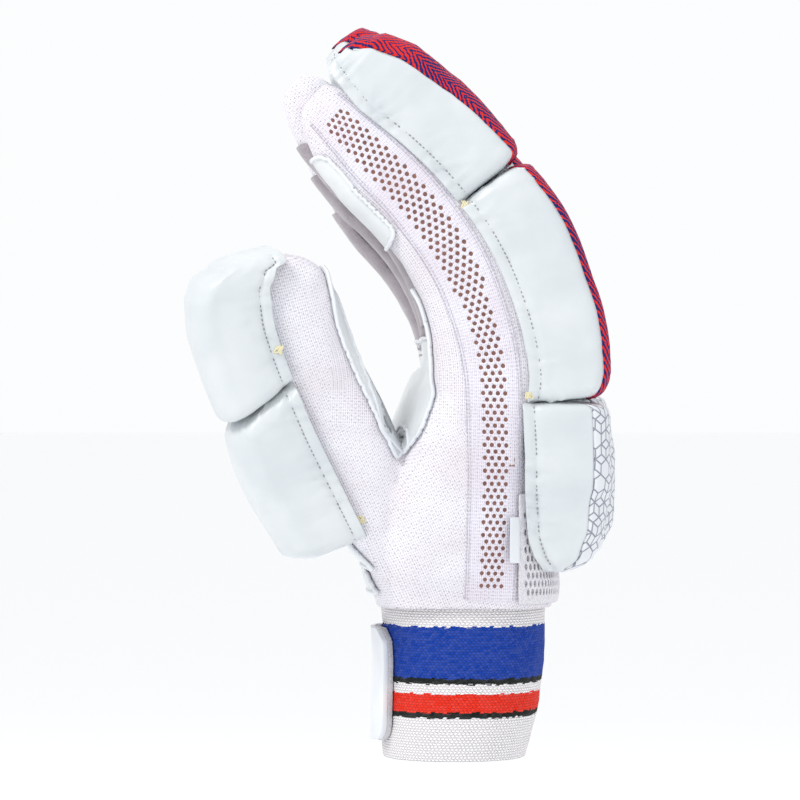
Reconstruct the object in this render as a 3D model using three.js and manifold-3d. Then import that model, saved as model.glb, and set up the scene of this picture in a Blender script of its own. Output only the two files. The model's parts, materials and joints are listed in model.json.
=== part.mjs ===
// A right-hand cricket batting glove in its worn form, fingers up and curled towards the palm.
// Millimetres and degrees. +Z runs from the wrist to the fingers, +X points out of the back of
// the hand and -Y is the thumb side. The origin is the middle of the wrist opening.
import * as THREE from 'three';
import { mergeVertices } from 'three/addons/utils/BufferGeometryUtils.js';
import Module from 'manifold-3d';

const wasm = await Module();
wasm.setup();

// What is sewn together keeps this small gap, and the walls are as thick as the cloth.
const GAP = 0.3;
const KNIT = 1.8;
const LEATHER = 1.2;
const SPACER_MESH = 2.2;

// Elastic wristband.
const BAND_HEIGHT = 61;
const BAND_DEPTH = 63;
const BAND_BREADTH = 70;
const BAND_WALL = 2.4;
const BAND_LEAN = 3.6;

// Hook-and-loop end of the wristband, which lies on its palm side.
const TAB_HEIGHT = 43;
const TAB_RISE = 6;
const TAB_BREADTH = 40;
const TAB_THICK = 4.2;

// Hand, from the hem over the band to the knuckles. Its knit is in two, with a seam across it
// at KNUCKLE_SEAM, a share of its length.
const HEM_OVERLAP = 4;
const HAND_LENGTH = 92;
const HAND_DEPTH = 76;
const HAND_BREADTH = 103;
const KNUCKLE_TURN = 7;
const KNUCKLE_DROP = 6;
const KNUCKLE_SEAM = 0.6;

// Fingers, in the order of the columns across the hand. Length is along the finger from the
// knuckle, depth is from palm to back, and lean is the way it points, towards the palm.
const FINGER_PITCH = 26;
const FINGER_BREADTH = 24;
const FINGERS = [
  { name: 'index', column: -1.5, length: 132, depth: 39, offset: 11.3, rise: 0, leanFrom: -2, leanTo: 49 },
  { name: 'middle', column: -0.5, length: 138, depth: 37, offset: 8.5, rise: 3, leanFrom: -1, leanTo: 50 },
  { name: 'ring', column: 0.5, length: 125, depth: 34, offset: 7, rise: 2, leanFrom: -1, leanTo: 50 },
  { name: 'little', column: 1.5, length: 109, depth: 29, offset: 4, rise: -3, leanFrom: -1, leanTo: 46 },
];
const KNUCKLE_HEIGHT = 136;

// The leather over the palm ends short of the thumb side.
const PALM_EDGE_X = -8;
const PALM_EDGE_Y = 34;

// Thumb.
const THUMB = { length: 114, depth: 31, breadth: 28, roll: 12, leanFrom: 26, leanTo: 11, drift: -22 };
const THUMB_ROOT = { x: -22.5, y: -26, z: 82 };

// Padded rolls and the panel sewn into the crown of each.
const ROLL_BREADTH = 25;
const ROLL_HEIGHT = 28;
const ROLL_JOINT = 1.2;
const ROLL_FOOT = 3.5;
const CROWN_DEPTH = 8;
const CROWN_GAP = 0.9;
const BACK_ROLL_HEIGHT = 28;
const BACK_ROLL_LENGTH = 62;
const THUMB_PAD_BREADTH = 33;
const THUMB_PAD_HEIGHT = 24;

// Pierced knit panel down the thumb side, from the index fingertip to the wrist.
const PIERCED_BREADTH = 18;
const PIERCED_LAP = 2;
const PIERCED_SHIFT = 5;
const PIERCED_LIFT = 0.8;
const HOLE_ROWS = 19;
const HOLES_A_ROW = 3;
const HOLE_WIDTH = 2.1;
const HOLE_LENGTH = 3.2;

// Spacer mesh insert over the heel of the hand's back.
const SPACER_EDGE = 25;
const SPACER_HEIGHT = 42;

// Label tab sewn into the seam beside the spacer mesh. It starts a little below the back rolls.
const LABEL_HEIGHT = 18.5;
const LABEL_BREADTH = 4.6;
const LABEL_THICK = 1;
const LABEL_DROP = 3;
const LABEL_RISE = KNUCKLE_HEIGHT - BACK_ROLL_LENGTH - LABEL_DROP;

// How square the sections are: 2 is an ellipse, and more is squarer. SIDES counts their corners.
const HAND_POWER = 3;
const FINGER_POWER = 3.6;
const THUMB_POWER = 2.8;
const BAND_POWER = 2.3;
const HAND_SIDES = 20;
const DIGIT_SIDES = 12;
const BAND_SIDES = 20;
const CROWN_STEPS = 4;
const CROWN_ROUND = 0.8;

const radians = THREE.MathUtils.degToRad;

// How far along the bend of a finger has gone, as shares of its length and of its whole bend.
const BEND = [
  { along: 0, bend: 0 },
  { along: 0.25, bend: 0.38 },
  { along: 0.48, bend: 0.74 },
  { along: 0.68, bend: 0.97 },
  { along: 1, bend: 1 },
];

const THUMB_BEND = [
  { along: 0, bend: 0 },
  { along: 0.5, bend: 0.05 },
  { along: 0.66, bend: 0.35 },
  { along: 0.84, bend: 0.85 },
  { along: 1, bend: 1 },
];

// Finger sections: shares of the finger's length, depth and breadth. rise moves the section
// towards the back, as a share of the depth.
const FINGER_SECTIONS = [
  { along: -0.1, depth: 0.86, breadth: 1, rise: 0 },
  { along: 0.05, depth: 1, breadth: 1, rise: 0 },
  { along: 0.25, depth: 0.9, breadth: 1, rise: 0 },
  { along: 0.5, depth: 0.85, breadth: 1, rise: 0 },
  { along: 0.72, depth: 0.85, breadth: 1, rise: 0 },
  { along: 0.87, depth: 0.73, breadth: 0.96, rise: 0.03 },
  { along: 0.96, depth: 0.55, breadth: 0.8, rise: 0.08 },
  { along: 1, depth: 0.3, breadth: 0.46, rise: 0.12 },
];

const THUMB_SECTIONS = [
  { along: -0.08, depth: 0.78, breadth: 0.78, rise: 0 },
  { along: 0.1, depth: 1.04, breadth: 1.05, rise: 0 },
  { along: 0.45, depth: 1.06, breadth: 1.03, rise: 0.02 },
  { along: 0.65, depth: 1, breadth: 0.98, rise: 0.02 },
  { along: 0.82, depth: 1, breadth: 1, rise: 0 },
  { along: 0.93, depth: 0.9, breadth: 0.9, rise: 0 },
  { along: 0.985, depth: 0.62, breadth: 0.66, rise: -0.04 },
  { along: 1, depth: 0.3, breadth: 0.36, rise: -0.08 },
];

// Hand sections: shares of its length (up), of its depth (middle and depth), of its breadth,
// and of the turn and drop that set the knuckles across the hand.
const HAND_SECTIONS = [
  { up: 0, middle: 0.054, depth: 0.86, breadth: 0.715, turn: 0, drop: 0 },
  { up: 0.05, middle: 0.046, depth: 0.91, breadth: 0.745, turn: 0, drop: 0 },
  { up: 0.13, middle: 0.03, depth: 0.94, breadth: 0.83, turn: 0, drop: 0 },
  { up: 0.27, middle: -0.005, depth: 0.93, breadth: 0.9, turn: 0.05, drop: 0 },
  { up: 0.44, middle: 0, depth: 0.85, breadth: 0.95, turn: 0.4, drop: 0 },
  { up: 0.62, middle: 0.03, depth: 0.74, breadth: 0.98, turn: 0.7, drop: 0.2 },
  { up: 0.8, middle: 0.055, depth: 0.63, breadth: 1, turn: 0.9, drop: 0.6 },
  { up: 0.93, middle: 0.07, depth: 0.54, breadth: 1, turn: 1, drop: 0.9 },
  { up: 1, middle: 0.08, depth: 0.48, breadth: 0.98, turn: 1, drop: 1 },
];

// Breadth of the pierced panel and its shift to the back of the hand, at shares of the index
// finger's length from the knuckle.
const PIERCED_SECTIONS = [
  { along: -0.6, breadth: 0.62, shift: 1 },
  { along: -0.45, breadth: 0.78, shift: 1 },
  { along: -0.2, breadth: 1, shift: 1 },
  { along: 0.25, breadth: 1, shift: 0 },
  { along: 0.55, breadth: 1, shift: 0 },
  { along: 0.95, breadth: 0.62, shift: 0 },
];

// Wristband sections: shares of its height, depth and breadth.
const BAND_SECTIONS = [
  { up: 0, middle: 0.05, depth: 0.86, breadth: 0.93 },
  { up: 0.06, middle: 0.15, depth: 0.89, breadth: 0.95 },
  { up: 0.3, middle: 0.75, depth: 0.94, breadth: 0.98 },
  { up: 0.6, middle: 1.15, depth: 0.97, breadth: 1 },
  { up: 1, middle: 1, depth: 1, breadth: 1 },
];

// Rolls: along is a share of the roll's length, high and broad are shares of its section, skew
// slants its end by that much for each millimetre of height, and lift raises its foot. lap is
// how far the crown panel comes down the crown.
const TIP_ROLL = [
  { along: 0, high: 0.86, broad: 0.93, skew: 0, lift: 0, lap: 0.3 },
  { along: 0.05, high: 0.94, broad: 1, skew: 0, lift: 0, lap: 0.35 },
  { along: 0.4, high: 0.98, broad: 1, skew: 0, lift: 0, lap: 0.7 },
  { along: 0.72, high: 0.97, broad: 1, skew: 0, lift: 0, lap: 0.9 },
  { along: 0.88, high: 0.9, broad: 0.96, skew: 0, lift: 0.12, lap: 0.95 },
  { along: 0.97, high: 0.82, broad: 0.84, skew: 0, lift: 0.3, lap: 0.95 },
  { along: 1, high: 0.72, broad: 0.66, skew: 0, lift: 0.42, lap: 0.95 },
];
const KNUCKLE_ROLL = [
  { along: 0, high: 0.82, broad: 0.93, skew: 0.1, lift: 0, lap: 0.3 },
  { along: 0.06, high: 0.9, broad: 1, skew: 0.1, lift: 0, lap: 0.3 },
  { along: 0.35, high: 0.95, broad: 1, skew: 0, lift: 0, lap: 0.3 },
  { along: 0.7, high: 0.96, broad: 1, skew: 0, lift: 0, lap: 0.3 },
  { along: 0.94, high: 0.93, broad: 1, skew: 0, lift: 0, lap: 0.3 },
  { along: 1, high: 0.84, broad: 0.93, skew: 0, lift: 0, lap: 0.3 },
];
const BACK_ROLL = [
  { along: 0, high: 0.48, broad: 0.7, skew: 0, lift: 0.14, lap: 0.6 },
  { along: 0.07, high: 0.68, broad: 0.8, skew: 0, lift: 0.05, lap: 0.7 },
  { along: 0.22, high: 0.87, broad: 0.84, skew: 0, lift: 0, lap: 0.8 },
  { along: 0.5, high: 0.98, broad: 0.93, skew: 0, lift: 0, lap: 0.8 },
  { along: 0.95, high: 0.99, broad: 1, skew: 0, lift: 0, lap: 0.8 },
  { along: 1, high: 0.92, broad: 0.94, skew: 0, lift: 0, lap: 0.7 },
];
// The back rolls draw together towards the wrist, by shares of their pitch.
const BACK_SPREAD = [
  { along: 0, pitch: 0.79 },
  { along: 0.5, pitch: 0.92 },
  { along: 1, pitch: 1 },
];
const THUMB_BASE_PAD = [
  { along: 0, high: 0.84, broad: 0.86, skew: 0.1, lift: 0 },
  { along: 0.07, high: 1, broad: 0.97, skew: 0.1, lift: 0 },
  { along: 0.5, high: 1.04, broad: 1, skew: 0, lift: 0 },
  { along: 0.93, high: 1, broad: 0.98, skew: -0.27, lift: 0 },
  { along: 1, high: 0.88, broad: 0.9, skew: -0.27, lift: 0 },
];
const THUMB_TIP_PAD = [
  { along: 0, high: 0.94, broad: 0.9, skew: -0.27, lift: 0 },
  { along: 0.08, high: 1.03, broad: 0.98, skew: -0.27, lift: 0 },
  { along: 0.45, high: 1.02, broad: 1, skew: 0, lift: 0 },
  { along: 0.85, high: 1, broad: 0.98, skew: 0, lift: 0 },
  { along: 0.97, high: 0.93, broad: 0.9, skew: 0, lift: 0.05 },
  { along: 1, high: 0.76, broad: 0.74, skew: 0, lift: 0.12 },
];

// Where each roll lies along its finger, as shares of the finger's length.
const ROLL_SPLIT = 0.51;
const ROLL_TIP = 1.03;
const ROLL_FROM = -0.01;
const THUMB_PADS = { from: 0.08, split: 0.62, to: 1.03 };

const PAD_COLOUR = 0xe9edef;
const KNIT_COLOUR = 0xe8e5e8;
const LEATHER_COLOUR = 0xeceae6;
const BAND_COLOUR = 0xe4e2e2;
const ZIGZAG_COLOUR = 0xd9432f;
const HEX_COLOUR = 0xd5d7dd;
const LABEL_COLOUR = 0xf2f3f5;

// The value of a table's column at a place between its rows.
function between(table, key, at, column) {
  let i = 1;
  while (i < table.length - 1 && table[i][key] < at) i += 1;
  const [a, b] = [table[i - 1], table[i]];
  const share = THREE.MathUtils.clamp((at - a[key]) / (b[key] - a[key]), 0, 1);
  return THREE.MathUtils.lerp(a[column], b[column], share);
}

// A closed skin over rings of points, as a manifold solid. Each end is closed by strips from
// one side of its ring to the other.
function loft(rings) {
  const sides = rings[0].length;
  const points = rings.flat();
  const quads = [];
  for (let i = 0; i < rings.length - 1; i += 1) {
    for (let j = 0; j < sides; j += 1) {
      const k = (j + 1) % sides;
      const [a, b] = [i * sides + j, i * sides + k];
      quads.push(a, b, b + sides, a, b + sides, a + sides);
    }
  }
  const last = (rings.length - 1) * sides;
  for (let j = 0; j < sides / 2 - 1; j += 1) {
    const [a, b, c, d] = [j, j + 1, sides - 2 - j, sides - 1 - j];
    quads.push(c, b, a, d, c, a);
    quads.push(last + a, last + b, last + c, last + a, last + c, last + d);
  }
  return solidOf(points, quads);
}

// A solid from points and triangles, turned the right way out.
function solidOf(points, triangles) {
  const make = (order) => {
    const geometry = new THREE.BufferGeometry().setFromPoints(points);
    geometry.setIndex(order);
    const merged = mergeVertices(geometry, 1e-4);
    return new wasm.Manifold(new wasm.Mesh({
      numProp: 3,
      vertProperties: merged.attributes.position.array,
      triVerts: new Uint32Array(merged.index.array),
    }));
  };
  const made = make(triangles);
  return made.volume() > 0 ? made : make([...triangles].reverse());
}

// A rounded box section about a point, halfU along u and halfV along v.
function roundedRing(at, u, v, halfU, halfV, power, sides) {
  const ring = [];
  for (let i = 0; i < sides; i += 1) {
    const angle = ((i + 0.5) / sides) * Math.PI * 2;
    const [c, s] = [Math.cos(angle), Math.sin(angle)];
    const side = Math.sign(c) * Math.abs(c) ** (2 / power) * halfU;
    const front = Math.sign(s) * Math.abs(s) ** (2 / power) * halfV;
    ring.push(at.clone().addScaledVector(u, side).addScaledVector(v, front));
  }
  return ring;
}

// The centre line of a finger or thumb. It leaves its root leaning leanFrom towards the palm
// and ends leaning leanTo. back points away from the palm and side across the hand.
function bentPath(root, length, bend, leanFrom, leanTo, drift, roll) {
  const steps = 64;
  const points = [root.clone()];
  const leanAt = (t) => radians(THREE.MathUtils.lerp(leanFrom, leanTo, between(bend, 'along', t, 'bend')));
  const ahead = (t) => new THREE.Vector3(-Math.sin(leanAt(t)), drift / length, Math.cos(leanAt(t)));
  for (let i = 0; i < steps; i += 1) {
    points.push(points[i].clone().addScaledVector(ahead((i + 0.5) / steps), length / steps));
  }
  return (t) => {
    const i = THREE.MathUtils.clamp(Math.floor(t * steps), 0, steps - 1);
    const point = points[i].clone().addScaledVector(ahead(t), (t - i / steps) * length);
    const forward = ahead(t).normalize();
    const back = new THREE.Vector3(Math.cos(leanAt(t)), 0, Math.sin(leanAt(t)));
    const side = new THREE.Vector3().crossVectors(forward, back).normalize();
    back.crossVectors(side, forward).applyAxisAngle(forward, radians(roll));
    side.applyAxisAngle(forward, radians(roll));
    return { point, forward, back, side };
  };
}

// A finger or thumb as a solid, grown all round by grow. sunk carries its root further down.
function digit(path, length, depth, breadth, sections, power, grow, sunk = 0) {
  const rings = sections.map((row, i) => {
    const tip = THREE.MathUtils.smoothstep(row.along, 0.8, 1);
    const root = i === 0 ? -sunk / length : 0;
    const at = path(row.along + (grow * tip) / length + root);
    at.point.addScaledVector(at.back, depth * row.rise);
    return roundedRing(at.point, at.side, at.back, (breadth / 2) * row.breadth + grow,
      (depth / 2) * row.depth + grow, power, DIGIT_SIDES);
  });
  return loft(rings);
}

const HAND_FROM = BAND_HEIGHT - HEM_OVERLAP;

// The hand as a solid, grown all round by grow, and carried down by sunk at the wrist.
function hand(grow, sunk = 0) {
  const rings = HAND_SECTIONS.map((row, i) => {
    const turn = radians(KNUCKLE_TURN * row.turn);
    const last = i === HAND_SECTIONS.length - 1;
    const z = HAND_FROM + HAND_LENGTH * row.up + (last ? grow : 0) - (i === 0 ? sunk : 0);
    const across = new THREE.Vector3(-Math.sin(turn), Math.cos(turn), 0);
    const out = new THREE.Vector3(Math.cos(turn), Math.sin(turn), 0);
    const middle = new THREE.Vector3(HAND_DEPTH * row.middle, 0, z);
    const [halfAcross, halfOut] = [(HAND_BREADTH / 2) * row.breadth, (HAND_DEPTH / 2) * row.depth];
    const ring = roundedRing(middle, across, out, halfAcross + grow, halfOut + grow, HAND_POWER, HAND_SIDES);
    const drop = (p) => (KNUCKLE_DROP * row.drop * (p.y + HAND_BREADTH / 2)) / HAND_BREADTH;
    return ring.map((p) => p.setZ(p.z - drop(p)));
  });
  return loft(rings);
}

// What is left of a rounded section's half height at a share of its half width.
function rounding(share, power) {
  return Math.max(1 - Math.abs(share) ** power, 0) ** (1 / power);
}

// How far the back of the hand lies out along +X at a place on it.
function handBack(y, z) {
  const up = THREE.MathUtils.clamp((z - HAND_FROM) / HAND_LENGTH, 0, 1);
  const read = (column) => between(HAND_SECTIONS, 'up', up, column);
  const turn = radians(KNUCKLE_TURN * read('turn'));
  const off = y / ((HAND_BREADTH / 2) * read('breadth'));
  const half = (HAND_DEPTH / 2) * read('depth') * rounding(off, HAND_POWER);
  return HAND_DEPTH * read('middle') - y * Math.tan(turn) + half;
}

// How far the thumb side of the hand and index finger lies out along -Y at a place on it.
function thumbSide(x, z) {
  const up = THREE.MathUtils.clamp((z - HAND_FROM) / HAND_LENGTH, 0, 1);
  const read = (column) => between(HAND_SECTIONS, 'up', up, column);
  const shift = Math.tan(radians(KNUCKLE_TURN * read('turn'))) * (HAND_BREADTH / 2);
  const off = Math.abs((x - HAND_DEPTH * read('middle') - shift) / ((HAND_DEPTH / 2) * read('depth')));
  const onHand = up < 1 ? (HAND_BREADTH / 2) * read('breadth') * rounding(off, HAND_POWER) : 0;
  const root = FINGER_SECTIONS[0].along - 0.05;
  let nearest = { distance: Infinity };
  for (let t = root; t <= 1; t += 0.01) {
    const at = index.path(t);
    const [dx, dz] = [x - at.point.x, z - at.point.z];
    const distance = Math.hypot(dx, dz);
    if (distance < nearest.distance) nearest = { distance, t, height: dx * at.back.x + dz * at.back.z };
  }
  const half = (index.depth / 2) * between(FINGER_SECTIONS, 'along', nearest.t, 'depth');
  const above = nearest.height - index.depth * between(FINGER_SECTIONS, 'along', nearest.t, 'rise');
  const round = rounding(above / half, FINGER_POWER);
  const reach = between(FINGER_SECTIONS, 'along', nearest.t, 'breadth') * (FINGER_BREADTH / 2) * round;
  const onFinger = nearest.t > root && nearest.distance < half * 1.2 ? -index.y + reach : 0;
  return Math.max(onHand, onFinger);
}

// The fingers, each with its centre line and its solid at any growth.
const fingers = FINGERS.map((row) => {
  const y = row.column * FINGER_PITCH;
  const root = new THREE.Vector3(row.offset, y, KNUCKLE_HEIGHT + row.rise);
  const path = bentPath(root, row.length, BEND, row.leanFrom, row.leanTo, 0, 0);
  const solid = (grow, sunk) => digit(path, row.length, row.depth, FINGER_BREADTH, FINGER_SECTIONS,
    FINGER_POWER, grow, sunk);
  return { ...row, y, path, solid };
});
const index = fingers[0];

const thumbPath = bentPath(new THREE.Vector3(THUMB_ROOT.x, THUMB_ROOT.y, THUMB_ROOT.z),
  THUMB.length, THUMB_BEND, THUMB.leanFrom, THUMB.leanTo, THUMB.drift, THUMB.roll);
const thumb = (grow, sunk) => digit(thumbPath, THUMB.length, THUMB.depth, THUMB.breadth,
  THUMB_SECTIONS, THUMB_POWER, grow, sunk);

// A block between two ends of a path and two heights above it, for cutting one piece from
// another. breadth is its whole width across the path.
function zone(path, from, to, low, high, breadth, rows = 8) {
  const rings = [];
  for (let i = 0; i <= rows; i += 1) {
    const t = THREE.MathUtils.lerp(from, to, i / rows);
    const at = path(t);
    const [a, b] = [low(t), high(t)];
    const corner = (side, up) => at.point.clone()
      .addScaledVector(at.side, side * (breadth / 2))
      .addScaledVector(at.back, up);
    rings.push([corner(-1, a), corner(1, a), corner(1, b), corner(-1, b)]);
  }
  return loft(rings);
}

// A block with straight sides between two corners.
function block(low, high) {
  const size = new THREE.Vector3().subVectors(high, low);
  const box = new THREE.BoxGeometry(size.x, size.y, size.z);
  box.translate(low.x + size.x / 2, low.y + size.y / 2, low.z + size.z / 2);
  box.deleteAttribute('normal');
  box.deleteAttribute('uv');
  const merged = mergeVertices(box);
  return new wasm.Manifold(new wasm.Mesh({
    numProp: 3,
    vertProperties: merged.attributes.position.array,
    triVerts: new Uint32Array(merged.index.array),
  }));
}

// The sections of a padded roll along a path. Each row of its table gives one.
function rollSections(path, from, to, seat, table, breadth, height) {
  return table.map((row) => {
    const t = THREE.MathUtils.lerp(from, to, row.along);
    const at = path(t);
    const half = (breadth / 2) * row.broad;
    const top = height * row.high;
    const foot = height * row.lift;
    const spring = Math.max(top - CROWN_DEPTH, (top + foot) / 2);
    const lap = Math.min(CROWN_DEPTH * (row.lap ?? 0), top - spring);
    const place = (side, up, ahead = 0) => at.point.clone()
      .addScaledVector(at.side, side)
      .addScaledVector(at.back, seat(t) + up)
      .addScaledVector(at.forward, row.skew * up + ahead);
    const crown = (inset, angle, ahead) => {
      const [c, s] = [Math.cos(angle), Math.sin(angle)];
      const side = (half - inset) * Math.sign(c) * Math.abs(c) ** CROWN_ROUND;
      return place(side, spring + (top - spring - inset) * s ** CROWN_ROUND, ahead);
    };
    const edge = Math.asin((1 - lap / (top - spring)) ** (1 / CROWN_ROUND));
    return { half, foot: foot - ROLL_FOOT, place, crown, edge };
  });
}

// The roll itself. With a crown panel its top is sunk by the panel's thickness, up to the
// panel's edge.
function rollBody(sections, sunk) {
  return loft(sections.map(({ half, foot, place, crown, edge }) => {
    const from = sunk ? edge : 0;
    const ring = [place(half, foot)];
    if (sunk) ring.push(crown(0, 0), crown(0, edge));
    for (let j = 0; j <= CROWN_STEPS; j += 1) {
      ring.push(crown(sunk, THREE.MathUtils.lerp(from, Math.PI - from, j / CROWN_STEPS)));
    }
    if (sunk) ring.push(crown(0, Math.PI - edge), crown(0, Math.PI));
    ring.push(place(-half, foot));
    return ring;
  }));
}

// The panel over the roll's crown, short of its seam all round by the gap.
function rollCrown(sections) {
  return loft(sections.map(({ half, crown, edge }, i) => {
    const ahead = i === 0 ? GAP : (i === sections.length - 1 ? -GAP : 0);
    const from = edge + (GAP * 2.5) / half;
    const angles = Array.from({ length: CROWN_STEPS + 1 },
      (_, j) => THREE.MathUtils.lerp(from, Math.PI - from, j / CROWN_STEPS));
    const face = (inset, order) => order.map((a) => crown(inset, a, ahead));
    return [...face(0, angles), ...face(LEATHER, [...angles].reverse())];
  }));
}

const pieces = [];

// Hands a finished solid to the model as a named mesh.
function piece(name, solid, colour, roughness) {
  const mesh = solid.getMesh();
  const geometry = new THREE.BufferGeometry();
  geometry.setAttribute('position', new THREE.BufferAttribute(new Float32Array(mesh.vertProperties), 3));
  geometry.setIndex(new THREE.BufferAttribute(new Uint32Array(mesh.triVerts), 1));
  geometry.computeVertexNormals();
  const material = new THREE.MeshStandardMaterial({ color: colour, roughness, metalness: 0 });
  const made = new THREE.Mesh(geometry, material);
  made.name = name;
  pieces.push(made);
}

// The largest body of a solid that a cut has left in several.
function largest(solid) {
  return solid.decompose().sort((a, b) => b.volume() - a.volume())[0];
}

// A roll of leather with a panel of another cloth in its crown.
function crownedRoll(name, sections, cuts, colour) {
  const body = cuts.reduce((solid, cut) => solid.subtract(cut), rollBody(sections, LEATHER + CROWN_GAP));
  piece(`${name}_roll`, largest(body), PAD_COLOUR, 0.45);
  piece(`${name}_crown`, rollCrown(sections), colour, 0.8);
}

// The pierced knit panel. It follows the thumb side of the glove, from the wrist to the index
// fingertip. Each band of it holds one row of holes.
function piercedRows() {
  const from = (HAND_FROM + 3 - KNUCKLE_HEIGHT) / index.length;
  const to = 0.92;
  return Array.from({ length: HOLE_ROWS + 1 }, (_, i) => THREE.MathUtils.lerp(from, to, i / HOLE_ROWS));
}

// A place on the panel: t along the index finger's line, side across it from -1 to 1.
function panelPoint(t, side, breadth, out) {
  const at = index.path(t);
  const narrow = between(PIERCED_SECTIONS, 'along', t, 'breadth');
  const shift = between(PIERCED_SECTIONS, 'along', t, 'shift');
  const p = at.point.clone().addScaledVector(at.back, PIERCED_SHIFT * shift + (side * breadth * narrow) / 2);
  p.y = -thumbSide(p.x, p.z) - out;
  return p;
}

function piercedPanel() {
  const rows = piercedRows();
  const thick = KNIT * 0.75;
  const [near, far] = [PIERCED_LIFT, PIERCED_LIFT + thick];
  const [points, triangles] = [[], []];
  const keep = new Map();
  const vertex = (t, side, out) => {
    const key = `${t.toFixed(5)},${side.toFixed(5)},${out}`;
    if (!keep.has(key)) keep.set(key, points.push(panelPoint(t, side, PIERCED_BREADTH, out)) - 1);
    return keep.get(key);
  };
  const edge = [-1, 0, 1];
  const wall = (a, b) => {
    const [a0, b0, a1, b1] = [vertex(...a, near), vertex(...b, near), vertex(...a, far), vertex(...b, far)];
    triangles.push(a0, b0, b1, a0, b1, a1);
  };
  for (let i = 0; i < rows.length - 1; i += 1) {
    const [t0, t1] = [rows[i], rows[i + 1]];
    const outline = [...edge.map((s) => [t0, s]), ...[...edge].reverse().map((s) => [t1, s])];
    const middle = (t0 + t1) / 2;
    const stagger = i % 2 ? 0.11 : -0.11;
    const [halfT, halfS] = [HOLE_LENGTH / 2 / index.length, HOLE_WIDTH / PIERCED_BREADTH];
    const holes = Array.from({ length: HOLES_A_ROW }, (_, j) => {
      const s = ((j + 0.5) / HOLES_A_ROW - 0.5) * 1.15 + stagger;
      return [[middle - halfT, s], [middle, s - halfS], [middle + halfT, s], [middle, s + halfS]];
    });
    const flat = (list) => list.map(([t, s]) => new THREE.Vector2(s, t * 10));
    const faces = THREE.ShapeUtils.triangulateShape(flat(outline), holes.map(flat));
    const all = [...outline, ...holes.flat()];
    faces.forEach((face) => {
      triangles.push(...face.map((k) => vertex(...all[k], far)));
      triangles.push(...[...face].reverse().map((k) => vertex(...all[k], near)));
    });
    holes.forEach((hole) => hole.forEach((p, k) => wall(p, hole[(k + 1) % 4])));
    wall([t1, -1], [t0, -1]);
    wall([t0, 1], [t1, 1]);
    if (i === 0) edge.slice(1).forEach((s, k) => wall([t0, edge[k]], [t0, s]));
    if (i === rows.length - 2) edge.slice(1).forEach((s, k) => wall([t1, s], [t1, edge[k]]));
  }
  return solidOf(points, triangles);
}

// The opening under the pierced panel, cut through the hand and the index finger.
function panelOpening() {
  const rows = piercedRows().filter((_, i) => i % 4 === 1);
  const breadth = PIERCED_BREADTH - 2 * PIERCED_LAP;
  const [out, into] = [4, -7];
  return loft(rows.map((t) => [
    panelPoint(t, -1, breadth, out), panelPoint(t, 1, breadth, out),
    panelPoint(t, 1, breadth, into), panelPoint(t, -1, breadth, into),
  ]));
}

// Wristband: an open ring, grown by grow.
function band(grow, past = 0) {
  const rings = BAND_SECTIONS.map((row, i) => {
    const end = i === 0 ? -past : (i === BAND_SECTIONS.length - 1 ? past : 0);
    const at = new THREE.Vector3(BAND_LEAN * row.middle, 0, BAND_HEIGHT * row.up + end);
    return roundedRing(at, new THREE.Vector3(0, 1, 0), new THREE.Vector3(1, 0, 0),
      (BAND_BREADTH / 2) * row.breadth + grow, (BAND_DEPTH / 2) * row.depth + grow, BAND_POWER, BAND_SIDES);
  });
  return loft(rings);
}

// Hand, finger and thumb sleeves, hollow and open into each other.
const opening = panelOpening();
const digitHollows = [...fingers.map((f) => f.solid(-KNIT, 8)), thumb(-KNIT, 0)];
const handKnit = digitHollows.reduce((solid, hollow) => solid.subtract(hollow),
  hand(0).subtract(hand(-KNIT, 5))).subtract(opening);
const seam = HAND_FROM + HAND_LENGTH * KNUCKLE_SEAM;
const aroundHand = HAND_BREADTH;
[
  ['hand_shell', HAND_FROM - 1, seam - GAP / 2],
  ['knuckle_shell', seam + GAP / 2, HAND_FROM + HAND_LENGTH + 1],
].forEach(([name, low, high]) => {
  const stretch = block(new THREE.Vector3(-aroundHand, -aroundHand, low),
    new THREE.Vector3(aroundHand, aroundHand, high));
  piece(name, largest(handKnit.intersect(stretch)), KNIT_COLOUR, 0.9);
});

fingers.forEach((finger) => {
  const sleeve = finger.solid(0).subtract(finger.solid(-KNIT, 8)).subtract(hand(GAP)).subtract(opening);
  piece(`${finger.name}_sleeve`, largest(sleeve), KNIT_COLOUR, 0.9);
});
const handSeat = hand(GAP);
piece('thumb_sleeve', largest(thumb(0).subtract(thumb(-KNIT, 8)).subtract(handSeat)), KNIT_COLOUR, 0.9);

piece('pierced_panel', piercedPanel(), KNIT_COLOUR, 0.9);

// Leather on the palm side: a patch on each finger, one on the thumb and one over the palm.
const PATCH_LIFT = GAP + LEATHER;
fingers.forEach((finger) => {
  const skin = finger.solid(PATCH_LIFT).subtract(finger.solid(GAP));
  const palmSide = zone(finger.path, 0.46, 1.1, () => -finger.depth, () => -finger.depth * 0.27, 40);
  piece(`${finger.name}_patch`, largest(skin.intersect(palmSide)), LEATHER_COLOUR, 0.7);
});
const thumbSkin = thumb(PATCH_LIFT).subtract(thumb(GAP)).subtract(hand(PATCH_LIFT + GAP));
const thumbPalmSide = zone(thumbPath, -0.05, 1.1, () => THUMB.depth * 0.3, () => THUMB.depth, 60);
piece('thumb_patch', largest(thumbSkin.intersect(thumbPalmSide)), LEATHER_COLOUR, 0.7);

const palmBlock = block(new THREE.Vector3(-60, -PALM_EDGE_Y, HAND_FROM + 6),
  new THREE.Vector3(PALM_EDGE_X, 70, HAND_FROM + HAND_LENGTH - 6));
const palm = fingers.reduce((solid, finger) => solid.subtract(finger.solid(GAP, 8)),
  hand(PATCH_LIFT).subtract(hand(GAP)).subtract(thumb(GAP, 8)).intersect(palmBlock));
piece('palm_patch', largest(palm), LEATHER_COLOUR, 0.7);

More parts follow.
